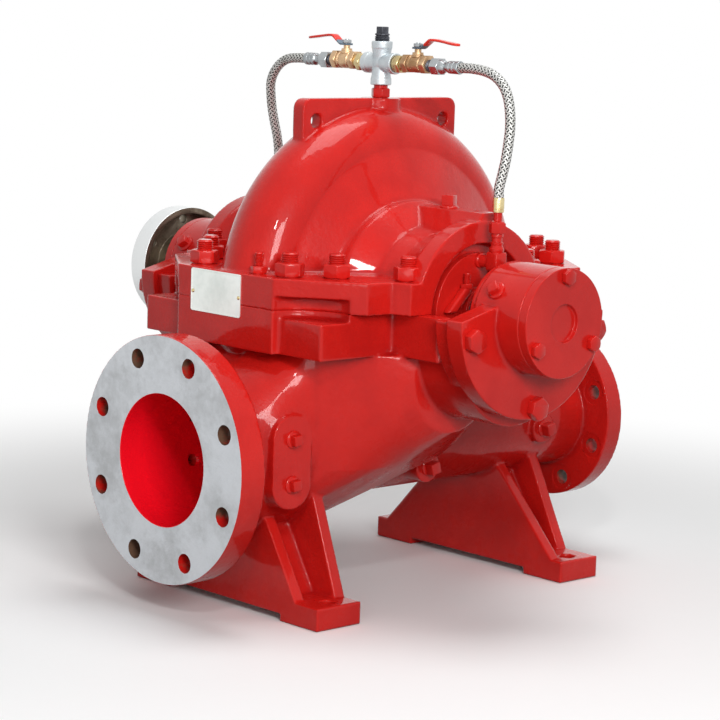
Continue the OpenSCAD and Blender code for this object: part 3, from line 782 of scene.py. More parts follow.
def pipe_plug(name, collar, square, head):
    """Square-headed plug: a round collar with a lip, then the square, from 0 upward."""
    base = lathe("base", [(0, collar), (1.6, collar), (2.4, collar - 0.8), (3.0, square * 0.62)])
    top = square_bar("top", square, 2.0, head, 0.9)
    return weld(name, base, top)


side_plug = pipe_plug("side_plug", 10.5, 12, 10.5)
pad_plug = pipe_plug("pad_plug", 11, 14, 15)
side_places = []
pad_places = []
barrel_radius = sizes("bearing_cover_outboard")[1].z / 2
for sign in (1, -1):
    for height in GAUGE_HEIGHTS:
        side_places.append(((sign * GAUGE_FACE_X, GAUGE_Y, height), (sign, 0, 0), 8))
    pad_places.append(((sign * PAD_PLUG.x, PAD_PLUG.y, PAD_PLUG.z), (0, 0, 1), 24))
    across = math.cos(OIL_PLUG_ANGLE)
    rise = math.sin(OIL_PLUG_ANGLE)
    start = (sign * OIL_PLUG_X, SHAFT_Y + across * barrel_radius, shaft_middle.z + rise * barrel_radius)
    side_places.append((start, (0, across, rise), 40))
for y, z in DRAIN_PLACES:
    pad_places.append(((DRAIN_FACE_X, y, z), (1, 0, 0), 15))
set_out(side_plug, "side_plugs", side_places)
set_out(pad_plug, "pad_plugs", pad_places)
print("plugs", len(side_places) + len(pad_places))

# %% [markdown]
# The plate on the suction end stays bare: thin pale metal with eased corners, held by two drive rivets. A
# cube is flattened, its four corners are rounded, and its face is inset for a raised border.

# %% Bare plate
PLATE_LOW = Vector((-0.0595, 0, 0.340))
PLATE_HIGH = Vector((0.0297, 0, 0.3895))
PLATE_FACE_Y = -0.215 + SHAFT_Y
PLATE_THICK = 0.0011
PLATE_CORNER = 0.003
PLATE_BORDER = 0.0016
BORDER_STEP = (0.0004, -0.0003)
RIVET_INSET = 0.0035
RIVET_DROP = 0.002
RIVET_SUNK = 0.0001


def bare_plate():
    """Thin plate with round corners and a pressed border, against the end of the split flange."""
    deselect()
    middle = (PLATE_LOW + PLATE_HIGH) / 2
    bpy.ops.mesh.primitive_cube_add(size=1, location=(middle.x, PLATE_FACE_Y - PLATE_THICK / 2, middle.z))
    plate = bpy.context.object
    plate.scale = (PLATE_HIGH.x - PLATE_LOW.x, PLATE_THICK, PLATE_HIGH.z - PLATE_LOW.z)
    bpy.ops.object.transform_apply(location=True, scale=True)

    def is_corner(edge):
        a, b = (plate.data.vertices[index].co for index in edge.vertices)
        return abs(a.y - b.y) > PLATE_THICK / 2

    pick(plate, "edges", is_corner)
    bpy.ops.mesh.bevel(offset=PLATE_CORNER, segments=5, affect="EDGES")
    pick(plate, "polygons", lambda face: face.normal.y < -0.9)
    bpy.ops.mesh.inset(thickness=PLATE_BORDER, depth=0)
    bpy.ops.mesh.inset(thickness=BORDER_STEP[0], depth=BORDER_STEP[1])
    bpy.ops.object.mode_set(mode="OBJECT")
    return plate


rivet = lathe("rivet", [(0, 2.2), (0.5, 2.1), (0.9, 1.6), (1.2, 0.8)], 16)
rivet_z = (PLATE_LOW.z + PLATE_HIGH.z) / 2 - RIVET_DROP
rivet_places = [
    ((x, PLATE_FACE_Y - PLATE_THICK + RIVET_SUNK, rivet_z), (0, -1, 0), 0)
    for x in (PLATE_LOW.x + RIVET_INSET, PLATE_HIGH.x - RIVET_INSET)
]
set_out(rivet, "plate_rivets", rivet_places, bright_brass, "brass")
name_plate = bare_plate()
name_plate.name = "bare_plate"
dress(name_plate, plate_metal, "root", "zinc_steel")
print("plate", [round(v * 1000, 1) for v in name_plate.dimensions], "mm")

# %% [markdown]
# The pipework on top is screwed together from stock fittings. The red nipple in the vent boss and the
# blackened plug above the cross are turned and milled bars. The cross itself is a casting: four flared arms
# with beaded mouths that run into each other, so its parts are joined, skinned over by a voxel remesh and
# smoothed, which leaves the soft corners of malleable iron.

# %% Nipple, cross and plug
CROSS_VOXEL = 0.0006
CROSS_PASSES = 9
CROSS_CORE = 0.0115


def skin_over(piece, voxel, passes):
    """Melts joined parts into one even skin, and smooths it."""
    choose(piece)
    piece.data.remesh_voxel_size = voxel
    bpy.ops.object.voxel_remesh()
    return soften(piece, passes)


def cross_fitting():
    """Malleable iron cross with four flared arms and beaded mouths."""
    middle, size = sizes("cross_fitting")
    reach = size.z / 2 / MM
    arms = []
    for direction in ((1, 0, 0), (-1, 0, 0), (0, 0, 1), (0, 0, -1)):
        arm = lathe("arm", [
            (-2, 10.2), (6, 10.4), (reach - 9, 11.8), (reach - 8, 12.4), (reach - 2, 12.6),
            (reach - 0.4, 12.4), (reach, 11.4), (reach, 9.4), (reach - 5, 9.0),
        ])
        arms.append(aim(arm, middle, direction))
    deselect()
    bpy.ops.mesh.primitive_ico_sphere_add(subdivisions=3, radius=CROSS_CORE, location=middle)
    bpy.ops.object.transform_apply(location=True)
    arms.append(bpy.context.object)
    return skin_over(weld("pipe_cross", *arms), CROSS_VOXEL, CROSS_PASSES)


def vent_nipple():
    """Hexagon nipple between the vent boss and the cross."""
    middle, size = sizes("vent_nipple")
    height = size.z / MM
    bar = ease_edges(hex_bar("bar", 20, 0.3, height - 3.5), 0.5)
    neck = lathe("neck", [(0, 9), (1, 9), (height - 4, 8.4), (height, 8.4)])
    low = middle - Vector((0, 0, size.z / 2))
    return aim(weld("vent_nipple_hex", bar, neck), low, (0, 0, 1))


def cross_plug():
    """Square-headed plug with a threaded collar."""
    middle, size = sizes("cross_plug")
    height = size.z / MM
    collar = lathe("collar", [(0, 8.6), *thread(0.2, 6.5, 9.0, 1.8), (7.2, 8.9), (8.6, 8.7), (9.2, 7.6)])
    head = square_bar("head", 10.6, 7, height, 0.7)
    low = middle - Vector((0, 0, size.z / 2))
    return aim(weld("cross_plug_head", collar, head), low, (0, 0, 1))


pipe_cross = dress(cross_fitting(), galvanised, "root", "galvanised", "cross_fitting", angle=60)
dress(vent_nipple(), enamel_hardware, "root", "casing_paint", "vent_nipple")
dress(cross_plug(), black_steel, "root", "black_steel", "cross_plug")
print("cross faces", len(pipe_cross.data.polygons))

# %% [markdown]
# On each side of the cross follow an adapter, a ball valve, a nipple and the hose's nut and ferrule. Their
# nodes lie in a row along X, so each piece is made from its node's box: it starts at the end nearest the
# cross and runs outward. The ferrule is crimped onto the braid, which the two grooves near its end show.

# %% Valve train
def from_cross(node, sign):
    """End of a node that lies nearest the cross, its length in millimetres and the outward direction."""
    middle, size = sizes(node)
    start = middle - Vector((sign * size.x / 2, 0, 0))
    return start, size.x / MM, (sign, 0, 0)


def valve_adapter(side, sign):
    """Passivated hexagon adapter with a turned shoulder."""
    start, long, direction = from_cross("valve_adapter_" + side, sign)
    shoulder = lathe("shoulder", [(0, 9.4), (2.6, 10.2), (4.4, 10.2), (4.6, 9.4)])
    bar = ease_edges(hex_bar("bar", 20, 4.2, long - 4), 0.35)
    neck = lathe("neck", [(long - 4.5, 8.4), (long, 8.4)])
    return aim(weld("valve_adapter_hex_" + side, shoulder, bar, neck), start, direction)


def valve_nipple(side, sign):
    """Black close nipple with its thread showing."""
    start, long, direction = from_cross("valve_nipple_" + side, sign)
    steps = [(0, 6.8), *thread(0.4, long - 0.4, 7.4, 1.4), (long, 6.6)]
    return aim(lathe("valve_nipple_thread_" + side, steps), start, direction)


def hose_nut(side, sign):
    """Swivel nut of the hose, with a turned back."""
    start, long, direction = from_cross("hose_nut_" + side, sign)
    bar = ease_edges(hex_bar("bar", 18.6, 0, long * 0.66), 0.35)
    back = lathe("back", [(long * 0.6, 8.8), (long * 0.74, 8.6), (long * 0.9, 7.0), (long, 5.6)])
    return aim(weld("hose_nut_hex_" + side, bar, back), start, direction)


def hose_ferrule(side, sign):
    """Tail pipe and crimped ferrule of the hose."""
    start, long, direction = from_cross("hose_ferrule_" + side, sign)
    turned = lathe("hose_ferrule_crimp_" + side, [
        (0, 5.2), (4.4, 5.2), (5.2, 6.4), (6.4, 7.4), (10, 7.5), (10.4, 7.1), (11.4, 7.1), (11.8, 7.5),
        (16, 7.5), (16.4, 7.1), (17.4, 7.1), (17.8, 7.6), (long - 1.2, 7.7), (long - 0.4, 7.4), (long, 6.6),
    ])
    return aim(ease_edges(turned, 0.15), start, direction)


for side, sign in (("outboard", 1), ("drive", -1)):
    dress(valve_adapter(side, sign), yellow_zinc, "root", "zinc_steel", "valve_adapter_" + side)
    dress(valve_nipple(side, sign), black_steel, "root", "black_steel", "valve_nipple_" + side)
    dress(hose_nut(side, sign), zinc_plate, "root", "zinc_steel", "hose_nut_" + side)
    dress(hose_ferrule(side, sign), zinc_plate, "root", "zinc_steel", "hose_ferrule_" + side)
print("valve train made on both sides")

# %% [markdown]
# The ball valve is a brass forging: a hexagon at each mouth, a round belly with two raised rings and a neck
# for the stem. The stem is brass too, and a plated nut holds the lever on it.

# %% Ball valves
def valve_body(side, sign):
    """Brass body with hexagon mouths, rings and a stem neck."""
    start, long, direction = from_cross("valve_body_" + side, sign)
    middle = sizes("valve_body_" + side)[0]
    first = ease_edges(hex_bar("first", 20.6, 0, 9), 0.4)
    belly = lathe("belly", [
        (7, 8.8), (10, 9.2), (11, 10.2), (13, 10.2), (14, 9.5), (17, 10.2), (23, 10.2), (26, 9.5),
        (27, 10.3), (29, 10.3), (30, 9.3), (34, 8.8),
    ])
    last = ease_edges(hex_bar("last", 20.6, long - 9, long), 0.4)
    body = aim(weld("body", first, belly, last), start, direction)
    pipe_z = sizes("hose_nut_" + side)[0].z
    top = (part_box("valve_body_" + side)[1].z - pipe_z) / MM
    neck = lathe("neck", [
        (4, 6.9), (top - 6, 6.9), (top - 5.4, 7.4), (top - 3, 7.4), (top - 2.4, 6.6), (top, 6.4),
    ])
    aim(neck, (middle.x, middle.y, pipe_z), (0, 0, 1))
    return weld("valve_body_brass_" + side, body, neck)


def stem_nut(side):
    """Nut and stem end on top of the lever."""
    middle, size = sizes("lever_nut_" + side)
    height = size.z / MM
    nut = ease_edges(hex_bar("nut", 9.8, 0, height - 1), 0.25)
    stem = lathe("stem", [(height - 2, 2.6), (height - 0.4, 2.6), (height, 2.2)], 20)
    low = middle - Vector((0, 0, size.z / 2))
    return aim(weld("stem_nut_" + side, nut, stem), low, (0, 0, 1))


print("valve bodies and nuts ready")

# %% [markdown]
# The lever is a cranked strip of steel with a dipped red grip. Both start as a flat block, whose end face
# is extruded along the crank, as one would bend it. The grip is narrow at its waist and round at its tip.
# Lever and nut ride on a body of their own, so that they turn together.

# %% Valve levers
GRIP_WAIST = {"at": 42, "spread": 9, "share": 0.30}
GRIP_TIP = {"from": 60, "radius": 8.2, "least": 0.08}


def bent_strip(name, width, thick, path):
    """Flat strip along +X through (distance, height) points in millimetres, made by extruding its end."""
    deselect()
    bpy.ops.mesh.primitive_cube_add(size=1)
    strip = bpy.context.object
    strip.name = name
    (x0, z0), (x1, z1) = path[:2]
    strip.scale = ((x1 - x0) * MM, width * MM, thick * MM)
    strip.location = ((x0 + x1) / 2 * MM, 0, (z0 + thick / 2) * MM)
    bpy.ops.object.transform_apply(location=True, scale=True)
    pick(strip, "polygons", lambda face: face.normal.x > 0.9)
    bpy.ops.transform.translate(value=(0, 0, (z1 - z0) * MM))
    for (xa, za), (xb, zb) in zip(path[1:], path[2:]):
        step = ((xb - xa) * MM, 0, (zb - za) * MM)
        bpy.ops.mesh.extrude_region_move(TRANSFORM_OT_translate={"value": step})
    bpy.ops.object.mode_set(mode="OBJECT")
    return strip


def valve_lever(side, sign):
    """Cranked steel strip with its red grip, in the lever's own box."""
    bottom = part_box("valve_lever_" + side)[0].z
    stem = sizes("lever_nut_" + side)[0]
    strip = bent_strip("strip", 10.4, 2.3, [(-5, 0), (7, 0), (10, 1.2), (18, 7.0)])
    ease_edges(strip, 0.5)
    strip.data.materials.append(lever_steel)
    grip = bent_strip("grip", 11.0, 3.0, [
        (13.5, 3.4), (21, 8.8), (23.5, 9.7), (30, 9.7), (38, 8.9), (46, 7.9), (54, 6.9), (61, 6.0),
        (64.5, 5.7), (66.5, 5.5), (67.7, 5.4),
    ])
    for vertex in grip.data.vertices:
        x = vertex.co.x / MM
        waist = 1 - GRIP_WAIST["share"] * math.exp(-((x - GRIP_WAIST["at"]) / GRIP_WAIST["spread"]) ** 2)
        past = max(0, x - GRIP_TIP["from"]) / GRIP_TIP["radius"]
        tip = math.sqrt(max(GRIP_TIP["least"], 1 - past ** 2))
        vertex.co.y *= waist * tip
    ease_edges(grip, 1.0, 3)
    grip.data.materials.append(lever_red)
    lever = weld("valve_lever_strip_" + side, grip, strip)
    turn = Matrix.Rotation(0 if sign > 0 else math.pi, 4, "Z")
    lever.data.transform(Matrix.Translation((stem.x, stem.y, bottom)) @ turn)
    return lever


lever_red = enamel("lever_red", 0.1, 0.15, rgb(236, 60, 46), rgb(214, 42, 36))[0]
for side, sign in (("outboard", 1), ("drive", -1)):
    dress(valve_body(side, sign), forged_brass, "root", "brass", "valve_body_" + side)
    dress(stem_nut(side), zinc_plate, "lever_" + side, "zinc_steel", "lever_nut_" + side)
    lever = dress(valve_lever(side, sign), None, "lever_" + side, "lever_paint", "valve_lever_" + side)
    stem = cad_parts["valve_stem_" + side]
    stem.data.materials.clear()
    stem.data.materials.append(forged_brass)
    print("valve", side, "lever faces", len(lever.data.polygons))

# %% [markdown]
# Below, each hose ends in a brass ferrule on a column of fittings that turns into the gland: a swivel nut,
# a stem and a forged elbow. The elbow is a block with a turned collar and leg; all but the ferrule is
# painted.

# %% Gland fittings
def hose_tail(side):
    """Brass ferrule at the hose's lower end."""
    middle, size = sizes("hose_tail_" + side)
    long = size.z / MM
    turned = lathe("hose_tail_ferrule_" + side, [
        (0, 5.6), (0.6, 6.5), (3, 6.7), (3.4, 6.4), (4.2, 6.4), (4.6, 6.7), (long - 2, 6.7),
        (long - 0.6, 6.6), (long, 6.2),
    ])
    return aim(turned, middle - Vector((0, 0, size.z / 2)), (0, 0, 1))


def gland_fitting(side):
    """Adapter, swivel nut and stem."""
    middle, size = sizes("gland_fitting_" + side)
    long = size.z / MM
    nut_low = long * 0.36
    nut_high = long * 0.70
    foot = lathe("foot", [
        (0, 6.6), (1.5, 7.4), (3, 7.4), (4, 6.0), (nut_low - 5, 6.0), (nut_low - 4, 7.0),
        (nut_low - 2, 7.0), (nut_low + 1, 6.2),
    ])
    nut = ease_edges(hex_bar("nut", 16.6, nut_low, nut_high), 0.5)
    cap = lathe("cap", [(nut_high - 1, 8.0), (nut_high + 0.6, 7.8), (nut_high + 1.8, 6.0)])
    stem = lathe("stem", [(nut_high, 5.0), (long, 4.9)])
    low = middle - Vector((0, 0, size.z / 2))
    return aim(weld("gland_fitting_nut_" + side, foot, nut, cap, stem), low, (0, 0, 1))


def gland_elbow(side, sign):
    """Forged elbow with a beaded leg into the gland and a collar on top."""
    low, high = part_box("gland_elbow_" + side)
    column = sizes("hose_tail_" + side)[0]
    half = 0.009
    middle = Vector((column.x, column.y, low.z + half))
    block = square_bar("block", 17.4, -9, 12, 2.0)
    collar = lathe("collar", [(11, 7.4), (13, 8.6), (16, 8.6), (17.4, 7.6), (20, 6.6)])
    column_parts = aim(weld("column_parts", block, collar), middle, (0, 0, 1))
    reach = (middle.x - (low.x if sign > 0 else high.x)) * sign / MM
    leg = lathe("leg", [
        (7, 7.8), (10, 7.8), (11, 6.6), (13, 7.2), (reach - 5, 7.2), (reach - 4, 8.6), (reach, 8.6),
    ])
    aim(leg, middle, (-sign, 0, 0))
    return weld("gland_elbow_forged_" + side, column_parts, leg)


for side, sign in (("outboard", 1), ("drive", -1)):
    dress(hose_tail(side), bright_brass, "root", "brass", "hose_tail_" + side)
    dress(gland_fitting(side), enamel_hardware, "root", "casing_paint", "gland_fitting_" + side)
    elbow = dress(gland_elbow(side, sign), enamel_hardware, "root", "casing_paint", "gland_elbow_" + side)
    print(elbow.name, [round(v * 1000) for v in elbow.dimensions], "mm")

# %% [markdown]
# Turned and milled CAD pieces have the right shape but knife edges, and light never catches such an edge. A
# copy of the node's mesh is merged, its flat triangles are dissolved into whole faces, and a narrow bevel
# is put on every sharp edge. The Weighted Normal modifier lets the large faces lead the shading, so that
# the narrow bevels beside them don't show on them. The copy then stands for the node. The round recess in
# the outboard cover is sunk a little deeper than in the CAD, so that its wall shows.

# %% Eased copies of machined nodes
BEVEL_MM = {"inner_cover_": 1.5, "seal_gland_": 1.2, "gland_clips_": 3.4, "bearing_cover_": 0.9}
RECESS_RADIUS = 0.0225
RECESS_FLOOR_X = 0.328
RECESS_NEAR = 0.0003
RECESS_SINK = 0.0022


def own_mesh(node, name):
    """Object with a merged copy of a node's mesh."""
    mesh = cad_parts[node].data.copy()
    mesh.materials.clear()
    piece = add_piece(name, mesh)
    choose(piece)
    bpy.ops.object.mode_set(mode="EDIT")
    bpy.ops.mesh.select_all(action="SELECT")
    bpy.ops.mesh.remove_doubles(threshold=0.00001)
    bpy.ops.object.mode_set(mode="OBJECT")
    return piece


def eased_copy(node, name, width):
    """Copy of a machined node with whole faces and rounded edges."""
    piece = own_mesh(node, name)
    bpy.ops.object.mode_set(mode="EDIT")
    bpy.ops.mesh.select_all(action="SELECT")
    bpy.ops.mesh.dissolve_limited(angle_limit=math.radians(0.5))
    bpy.ops.object.mode_set(mode="OBJECT")
    return ease_edges(piece, width, 3, 30)


def level_normals(piece):
    """Lets large faces lead the shading of the small ones beside them."""
    choose(piece)
    leading = piece.modifiers.new("normals", "WEIGHTED_NORMAL")
    leading.mode = "FACE_AREA"
    leading.keep_sharp = True
    bpy.ops.object.modifier_apply(modifier=leading.name)


for side in ("outboard", "drive"):
    for node, width in BEVEL_MM.items():
        piece = eased_copy(node + side, node + side + "_eased", width)
        dress(piece, enamel_hardware, "root", "casing_paint", node + side, angle=30)
        level_normals(piece)
        print(piece.name, "faces", len(piece.data.polygons))
cover = bpy.data.objects["bearing_cover_outboard_eased"]
sunk = 0
for vertex in cover.data.vertices:
    away = math.hypot(vertex.co.y - shaft_middle.y, vertex.co.z - shaft_middle.z)
    if away < RECESS_RADIUS and abs(vertex.co.x - RECESS_FLOOR_X) < RECESS_NEAR:
        vertex.co.x -= RECESS_SINK
        sunk += 1
print("recess points sunk", sunk)

# %% [markdown]
# The coupling hub is a turned iron disc. Its rim is bright from the lathe, while the recess between rim and
# hub is dark with oil. The finish tells the two apart by the distance from the shaft's axis.

# %% Coupling and shaft
COUPLING_RIM_RADIUS = 0.0722
RIM_BORDER = 0.0005
LATHE_MARKS = 7000.0


def axis_distance(tree, y, z):
    """Distance of a point from a line along X, from Object coordinates."""
    where = place(tree, "ShaderNodeTexCoord").outputs["Object"]
    axes = place(tree, "ShaderNodeSeparateXYZ", {"Vector": where}).outputs
    across = calc(tree, "SUBTRACT", axes["Y"], y)
    rise = calc(tree, "SUBTRACT", axes["Z"], z)
    square = calc(tree, "ADD", calc(tree, "POWER", across, 2.0), calc(tree, "POWER", rise, 2.0))
    return calc(tree, "SQRT", square), axes


def coupling_iron():
    """Bright turned rim, dark oiled recess."""
    material, tree, shader, skin = metal("coupling_iron", rgb(146, 136, 120), rgb(86, 72, 58), 0.36, 1.2)
    radius, axes = axis_distance(tree, SHAFT_Y, shaft_middle.z)
    rim = ease(tree, radius, COUPLING_RIM_RADIUS, COUPLING_RIM_RADIUS + RIM_BORDER)
    ridge = calc(tree, "SINE", calc(tree, "MULTIPLY", axes["X"], LATHE_MARKS))
    bright = tint(tree, ease(tree, ridge, -1.0, 1.0, 0.0, 0.12), rgb(226, 228, 228), rgb(186, 188, 188))
    wire(tree, shader.inputs["Base Color"], tint(tree, rim, skin["Color"], bright))
    return material


hub = eased_copy("coupling_hub", "coupling_hub_eased", 1.0)
dress(hub, coupling_iron(), "rotor", "coupling_steel", "coupling_hub", angle=30)
shaft = eased_copy("shaft", "shaft_eased", 0.8)
dress(shaft, turned_steel, "rotor", "bare_steel", "shaft", angle=30)
print("coupling faces", len(hub.data.polygons))

# %% [markdown]
# The castings come last, because they are the heaviest meshes. A founder rounds every inside corner, and
# CAD booleans leave them sharp. On an even mesh, the vertices that lie in hollow corners are found by how
# far their neighbours stand out. Vertex groups keep how deep they lie, because a modifier can be limited to
# a group.

# %% Hollow corners
SCAN_PASSES = 12
SPREAD_PASSES = 6
SPREAD_GAIN = 1.6
HOLLOW_FROM = 0.10
HOLLOW_FULL = 1.2
GROUP_LEVELS = 16


def read_mesh(mesh):
    """Points, normals and neighbour pairs of a mesh as arrays."""
    count = len(mesh.vertices)
    points = np.empty(count * 3, np.float32)
    mesh.vertices.foreach_get("co", points)
    normals = np.empty(count * 3, np.float32)
    mesh.vertex_normals.foreach_get("vector", normals)
    edges = np.empty(len(mesh.edges) * 2, np.int32)
    mesh.edges.foreach_get("vertices", edges)
    edges = edges.reshape(-1, 2)
    return points.reshape(-1, 3), normals.reshape(-1, 3), np.concatenate([edges, edges[:, ::-1]])


def neighbour_mean(values, ends, passes):
    """Columns of values, each replaced by the mean of its neighbours a number of times."""
    count = len(values)
    links = np.maximum(np.bincount(ends[:, 0], minlength=count), 1)
    for _ in range(passes):
        columns = [np.bincount(ends[:, 0], column[ends[:, 1]], count) / links for column in values.T]
        values = np.stack(columns, 1)
    return values


def hollow_corners(mesh, voxel):
    """How deep each vertex lies in a hollow corner, 0 to 1, and the vertices' places."""
    points, normals, ends = read_mesh(mesh)
    drift = neighbour_mean(points, ends, SCAN_PASSES) - points
    depth = (drift * normals).sum(1) / voxel
    share = np.clip((depth - HOLLOW_FROM) / (HOLLOW_FULL - HOLLOW_FROM), 0, 1)
    spread = neighbour_mean(share[:, None], ends, SPREAD_PASSES)[:, 0]
    return np.clip(spread * SPREAD_GAIN, 0, 1), points


def weigh(piece, name, weights):
    """Vertex group with a weight from 0 to 1 on each vertex, in even steps."""
    group = piece.vertex_groups.new(name=name)
    levels = np.round(weights * GROUP_LEVELS).astype(int)
    for level in range(1, GROUP_LEVELS + 1):
        group.add(np.nonzero(levels == level)[0].tolist(), level / GROUP_LEVELS, "REPLACE")
    return name


print("hollow corners found in", SCAN_PASSES, "passes")

# %% [markdown]
# A copy of each casting is remeshed into small even squares, and a Smooth modifier limited to the hollow
#  corners melts them into fillets. A Decimate modifier then takes away the squares that flat faces don't
#  need. Each vertex keeps how deep in a corner it lies, so that shade can be painted darker into the paint
#  there.

# %% Cast skin helpers
BLEND_PASSES = 1200
FACE_FLAT = 0.999
FACE_NEAR = 0.0006


def cast_copy(node, name, voxel, passes, triangles, filling=None, blend=None):
    """Copy of a casting with filleted inside corners; gives it with its points and how hollow each lies.

    filling is a body that becomes part of the casting. blend gives, for the vertices' places, where the
    casting flows in one long curve.
    """
    piece = own_mesh(node, name)
    if filling is not None:
        piece = weld(name, filling, piece)
    piece.data.remesh_voxel_size = voxel
    bpy.ops.object.voxel_remesh()
    soften(piece, 2)
    hollow, points = hollow_corners(piece.data, voxel)
    soften(piece, passes, weigh(piece, "hollow_corners", hollow))
    if blend is not None:
        soften(piece, BLEND_PASSES, weigh(piece, "blend", blend(points)))
    soften(piece, 1)
    before = len(piece.data.polygons) * 2
    if before > triangles:
        thin = piece.modifiers.new("thin", "DECIMATE")
        thin.ratio = triangles / before
        bpy.ops.object.modifier_apply(modifier=thin.name)
    piece.vertex_groups.clear()
    print(name, "triangles", before, "kept", len(piece.data.polygons))
    return piece, points, hollow


def crisp_border(piece, face_y):
    """Marks the border of a machined face as sharp, so that its flat shading ends there."""

    def is_machined(face):
        return abs(face.normal.y) > FACE_FLAT and abs(face.center.y - face_y) < FACE_NEAR

    pick(piece, "polygons", is_machined)
    bpy.ops.mesh.region_to_loop()
    bpy.ops.mesh.mark_sharp()
    bpy.ops.object.mode_set(mode="OBJECT")


def keep_hollow(piece, points, hollow):
    """Stores on each vertex how deep in a hollow corner it lies, for shade to be painted darker there."""
    tree = kdtree.KDTree(len(points))
    for index, point in enumerate(points):
        tree.insert(point, index)
    tree.balance()
    depth = [hollow[tree.find(vertex.co)[1]] for vertex in piece.data.vertices]
    piece.data.attributes.new("hollow", "FLOAT", "POINT").data.foreach_set("value", depth)


print("cast skin helpers ready")

# %% [markdown]
# After the foundry comes the machine shop. The remeshed flanges are faced, bored and drilled again with
# turned tools, so that their edges are crisp where the smoothing blurred them. On the far flange's back
# each bolt hole also has a spot face for its nut, and two gauge tappings on each side break into the
# suction bore.

# %% Machining tools
SUCTION = {"face": -0.330, "way": 1, "bore": 75, "circle": 120, "hole": 11, "deep": 34, "rim": 142.5}
DISCHARGE = {"face": 0.330, "way": -1, "bore": 50, "circle": 90, "hole": 9, "deep": 26, "rim": 110}
BORE_END = 172
SKIM = 0.4
BORE_STEP = 12
HOLE_PLAY = 0.3
SPOT_FACE = {"radius": 16, "start": 25.2, "end": 27}
FOOT_HOLES = (0.144, 0.200)
FOOT_HOLE_RADIUS = 9.5
FOOT_PAD = 26
GAUGE_TAP_X = 0.060
GAUGE_TAP = {"radius": 6.5, "long": 34}


def bolt_circle(port, radius, start, end):
    """One tool for all eight bolt holes of a port."""
    tools = []
    for index in range(8):
        turn = math.radians((index + 0.5) * 45)
        centre = Vector((math.cos(turn), 0, math.sin(turn))) * port["circle"] * MM
        centre += Vector((0, port["face"], BORE_HEIGHT))
        tool = lathe("drill", [(start, radius), (end, radius)], 32)
        tools.append(aim(tool, centre, (0, port["way"], 0)))
    return weld("drills", *tools)


def port_tools(port):
    """Facing and boring tool of a port."""
    wall = port["bore"] + SKIM
    depths = np.arange(SKIM + 1.0, BORE_END, BORE_STEP)
    steps = [(-8, 160), (SKIM, 160), (SKIM, wall + 1.0)]
    steps += [(float(depth), wall) for depth in depths]
    steps.append((BORE_END, wall - 2))
    tool = lathe("facer", steps, 128)
    return aim(tool, (0, port["face"], BORE_HEIGHT), (0, port["way"], 0))


def foot_drills():
    """One tool for the four foot bolt holes."""
    tools = []
    for x in (-1, 1):
        for y in (-1, 1):
            tool = lathe("drill", [(-3, FOOT_HOLE_RADIUS), (FOOT_PAD + 4, FOOT_HOLE_RADIUS)], 32)
            tools.append(aim(tool, (x * FOOT_HOLES[0], y * FOOT_HOLES[1], 0), (0, 0, 1)))
    return weld("drills", *tools)


def gauge_taps():
    """One tool for the gauge tappings that break into the suction bore on each side."""
    tools = []
    for sign in (1, -1):
        for height in GAUGE_HEIGHTS:
            tool = lathe("drill", [(0, GAUGE_TAP["radius"]), (GAUGE_TAP["long"], GAUGE_TAP["radius"])], 28)
            tools.append(aim(tool, (sign * GAUGE_TAP_X, GAUGE_Y, height), (sign, 0, 0)))
    return weld("drills", *tools)


print("suction bolt circle", SUCTION["circle"] * 2, "mm, discharge", DISCHARGE["circle"] * 2, "mm")

# %% [markdown]
# The casting's own finish is the enamel, apart from the two machined faces. They are found by place: a thin
# slice at each port, between the bore and the flange's rim. The same group finds the walls of the bolt
# holes and of the bore.

# %% Port masks
BORE_LIGHT_DEPTH = (0.12, 0.19)
FACE_SKIN = 0.0009
FLAT_FROM = 0.8
RIM_WALL = 0.006


def port_mask_group():
    """Masks of a machined port face, its bolt holes' walls and its bore, from Object coordinates."""
    tree, given, result = new_group(
        "port_mask",
        [("Face", "Float"), ("Way", "Float"), ("Inner", "Float"), ("Outer", "Float"), ("Deep", "Float")],
        [("Machined", "Float"), ("Holes", "Float"), ("Bore", "Float")],
    )
    where = place(tree, "ShaderNodeTexCoord").outputs["Object"]
    axes = place(tree, "ShaderNodeSeparateXYZ", {"Vector": where}).outputs
    normal = place(tree, "ShaderNodeNewGeometry").outputs["True Normal"]
    facing = place(tree, "ShaderNodeSeparateXYZ", {"Vector": normal}).outputs["Y"]
    rise = calc(tree, "SUBTRACT", axes["Z"], BORE_HEIGHT)
    square = calc(tree, "ADD", calc(tree, "POWER", axes["X"], 2.0), calc(tree, "POWER", rise, 2.0))
    radius = calc(tree, "SQRT", square)
    past_face = calc(tree, "SUBTRACT", axes["Y"], given.outputs["Face"])
    depth = calc(tree, "MULTIPLY", past_face, given.outputs["Way"])
    skin = calc(tree, "LESS_THAN", depth, FACE_SKIN)
    flat = calc(tree, "GREATER_THAN", calc(tree, "ABSOLUTE", facing), FLAT_FROM)
    inside = calc(tree, "LESS_THAN", radius, given.outputs["Outer"])
    outside = calc(tree, "GREATER_THAN", radius, given.outputs["Inner"])
    ring = calc(tree, "MULTIPLY", inside, outside)
    wire(tree, result.inputs["Machined"], calc(tree, "MULTIPLY", calc(tree, "MULTIPLY", skin, flat), ring))
    # The bore mask fades with depth, for the light painted into the bore's mouth.
    reach = ease(tree, depth, BORE_LIGHT_DEPTH[0], BORE_LIGHT_DEPTH[1], 1.0, 0.0)
    wire(tree, result.inputs["Bore"], calc(tree, "MULTIPLY", reach, calc(tree, "SUBTRACT", 1.0, outside)))
    slab = calc(tree, "LESS_THAN", depth, given.outputs["Deep"])
    core = calc(tree, "LESS_THAN", radius, calc(tree, "SUBTRACT", given.outputs["Outer"], RIM_WALL))
    walls = calc(tree, "MULTIPLY", slab, calc(tree, "MULTIPLY", core, outside))
    wire(tree, result.inputs["Holes"], calc(tree, "MULTIPLY", walls, calc(tree, "SUBTRACT", 1.0, flat)))
    return tree


port_mask = port_mask_group()
print("group", port_mask.name, "nodes", len(port_mask.nodes))
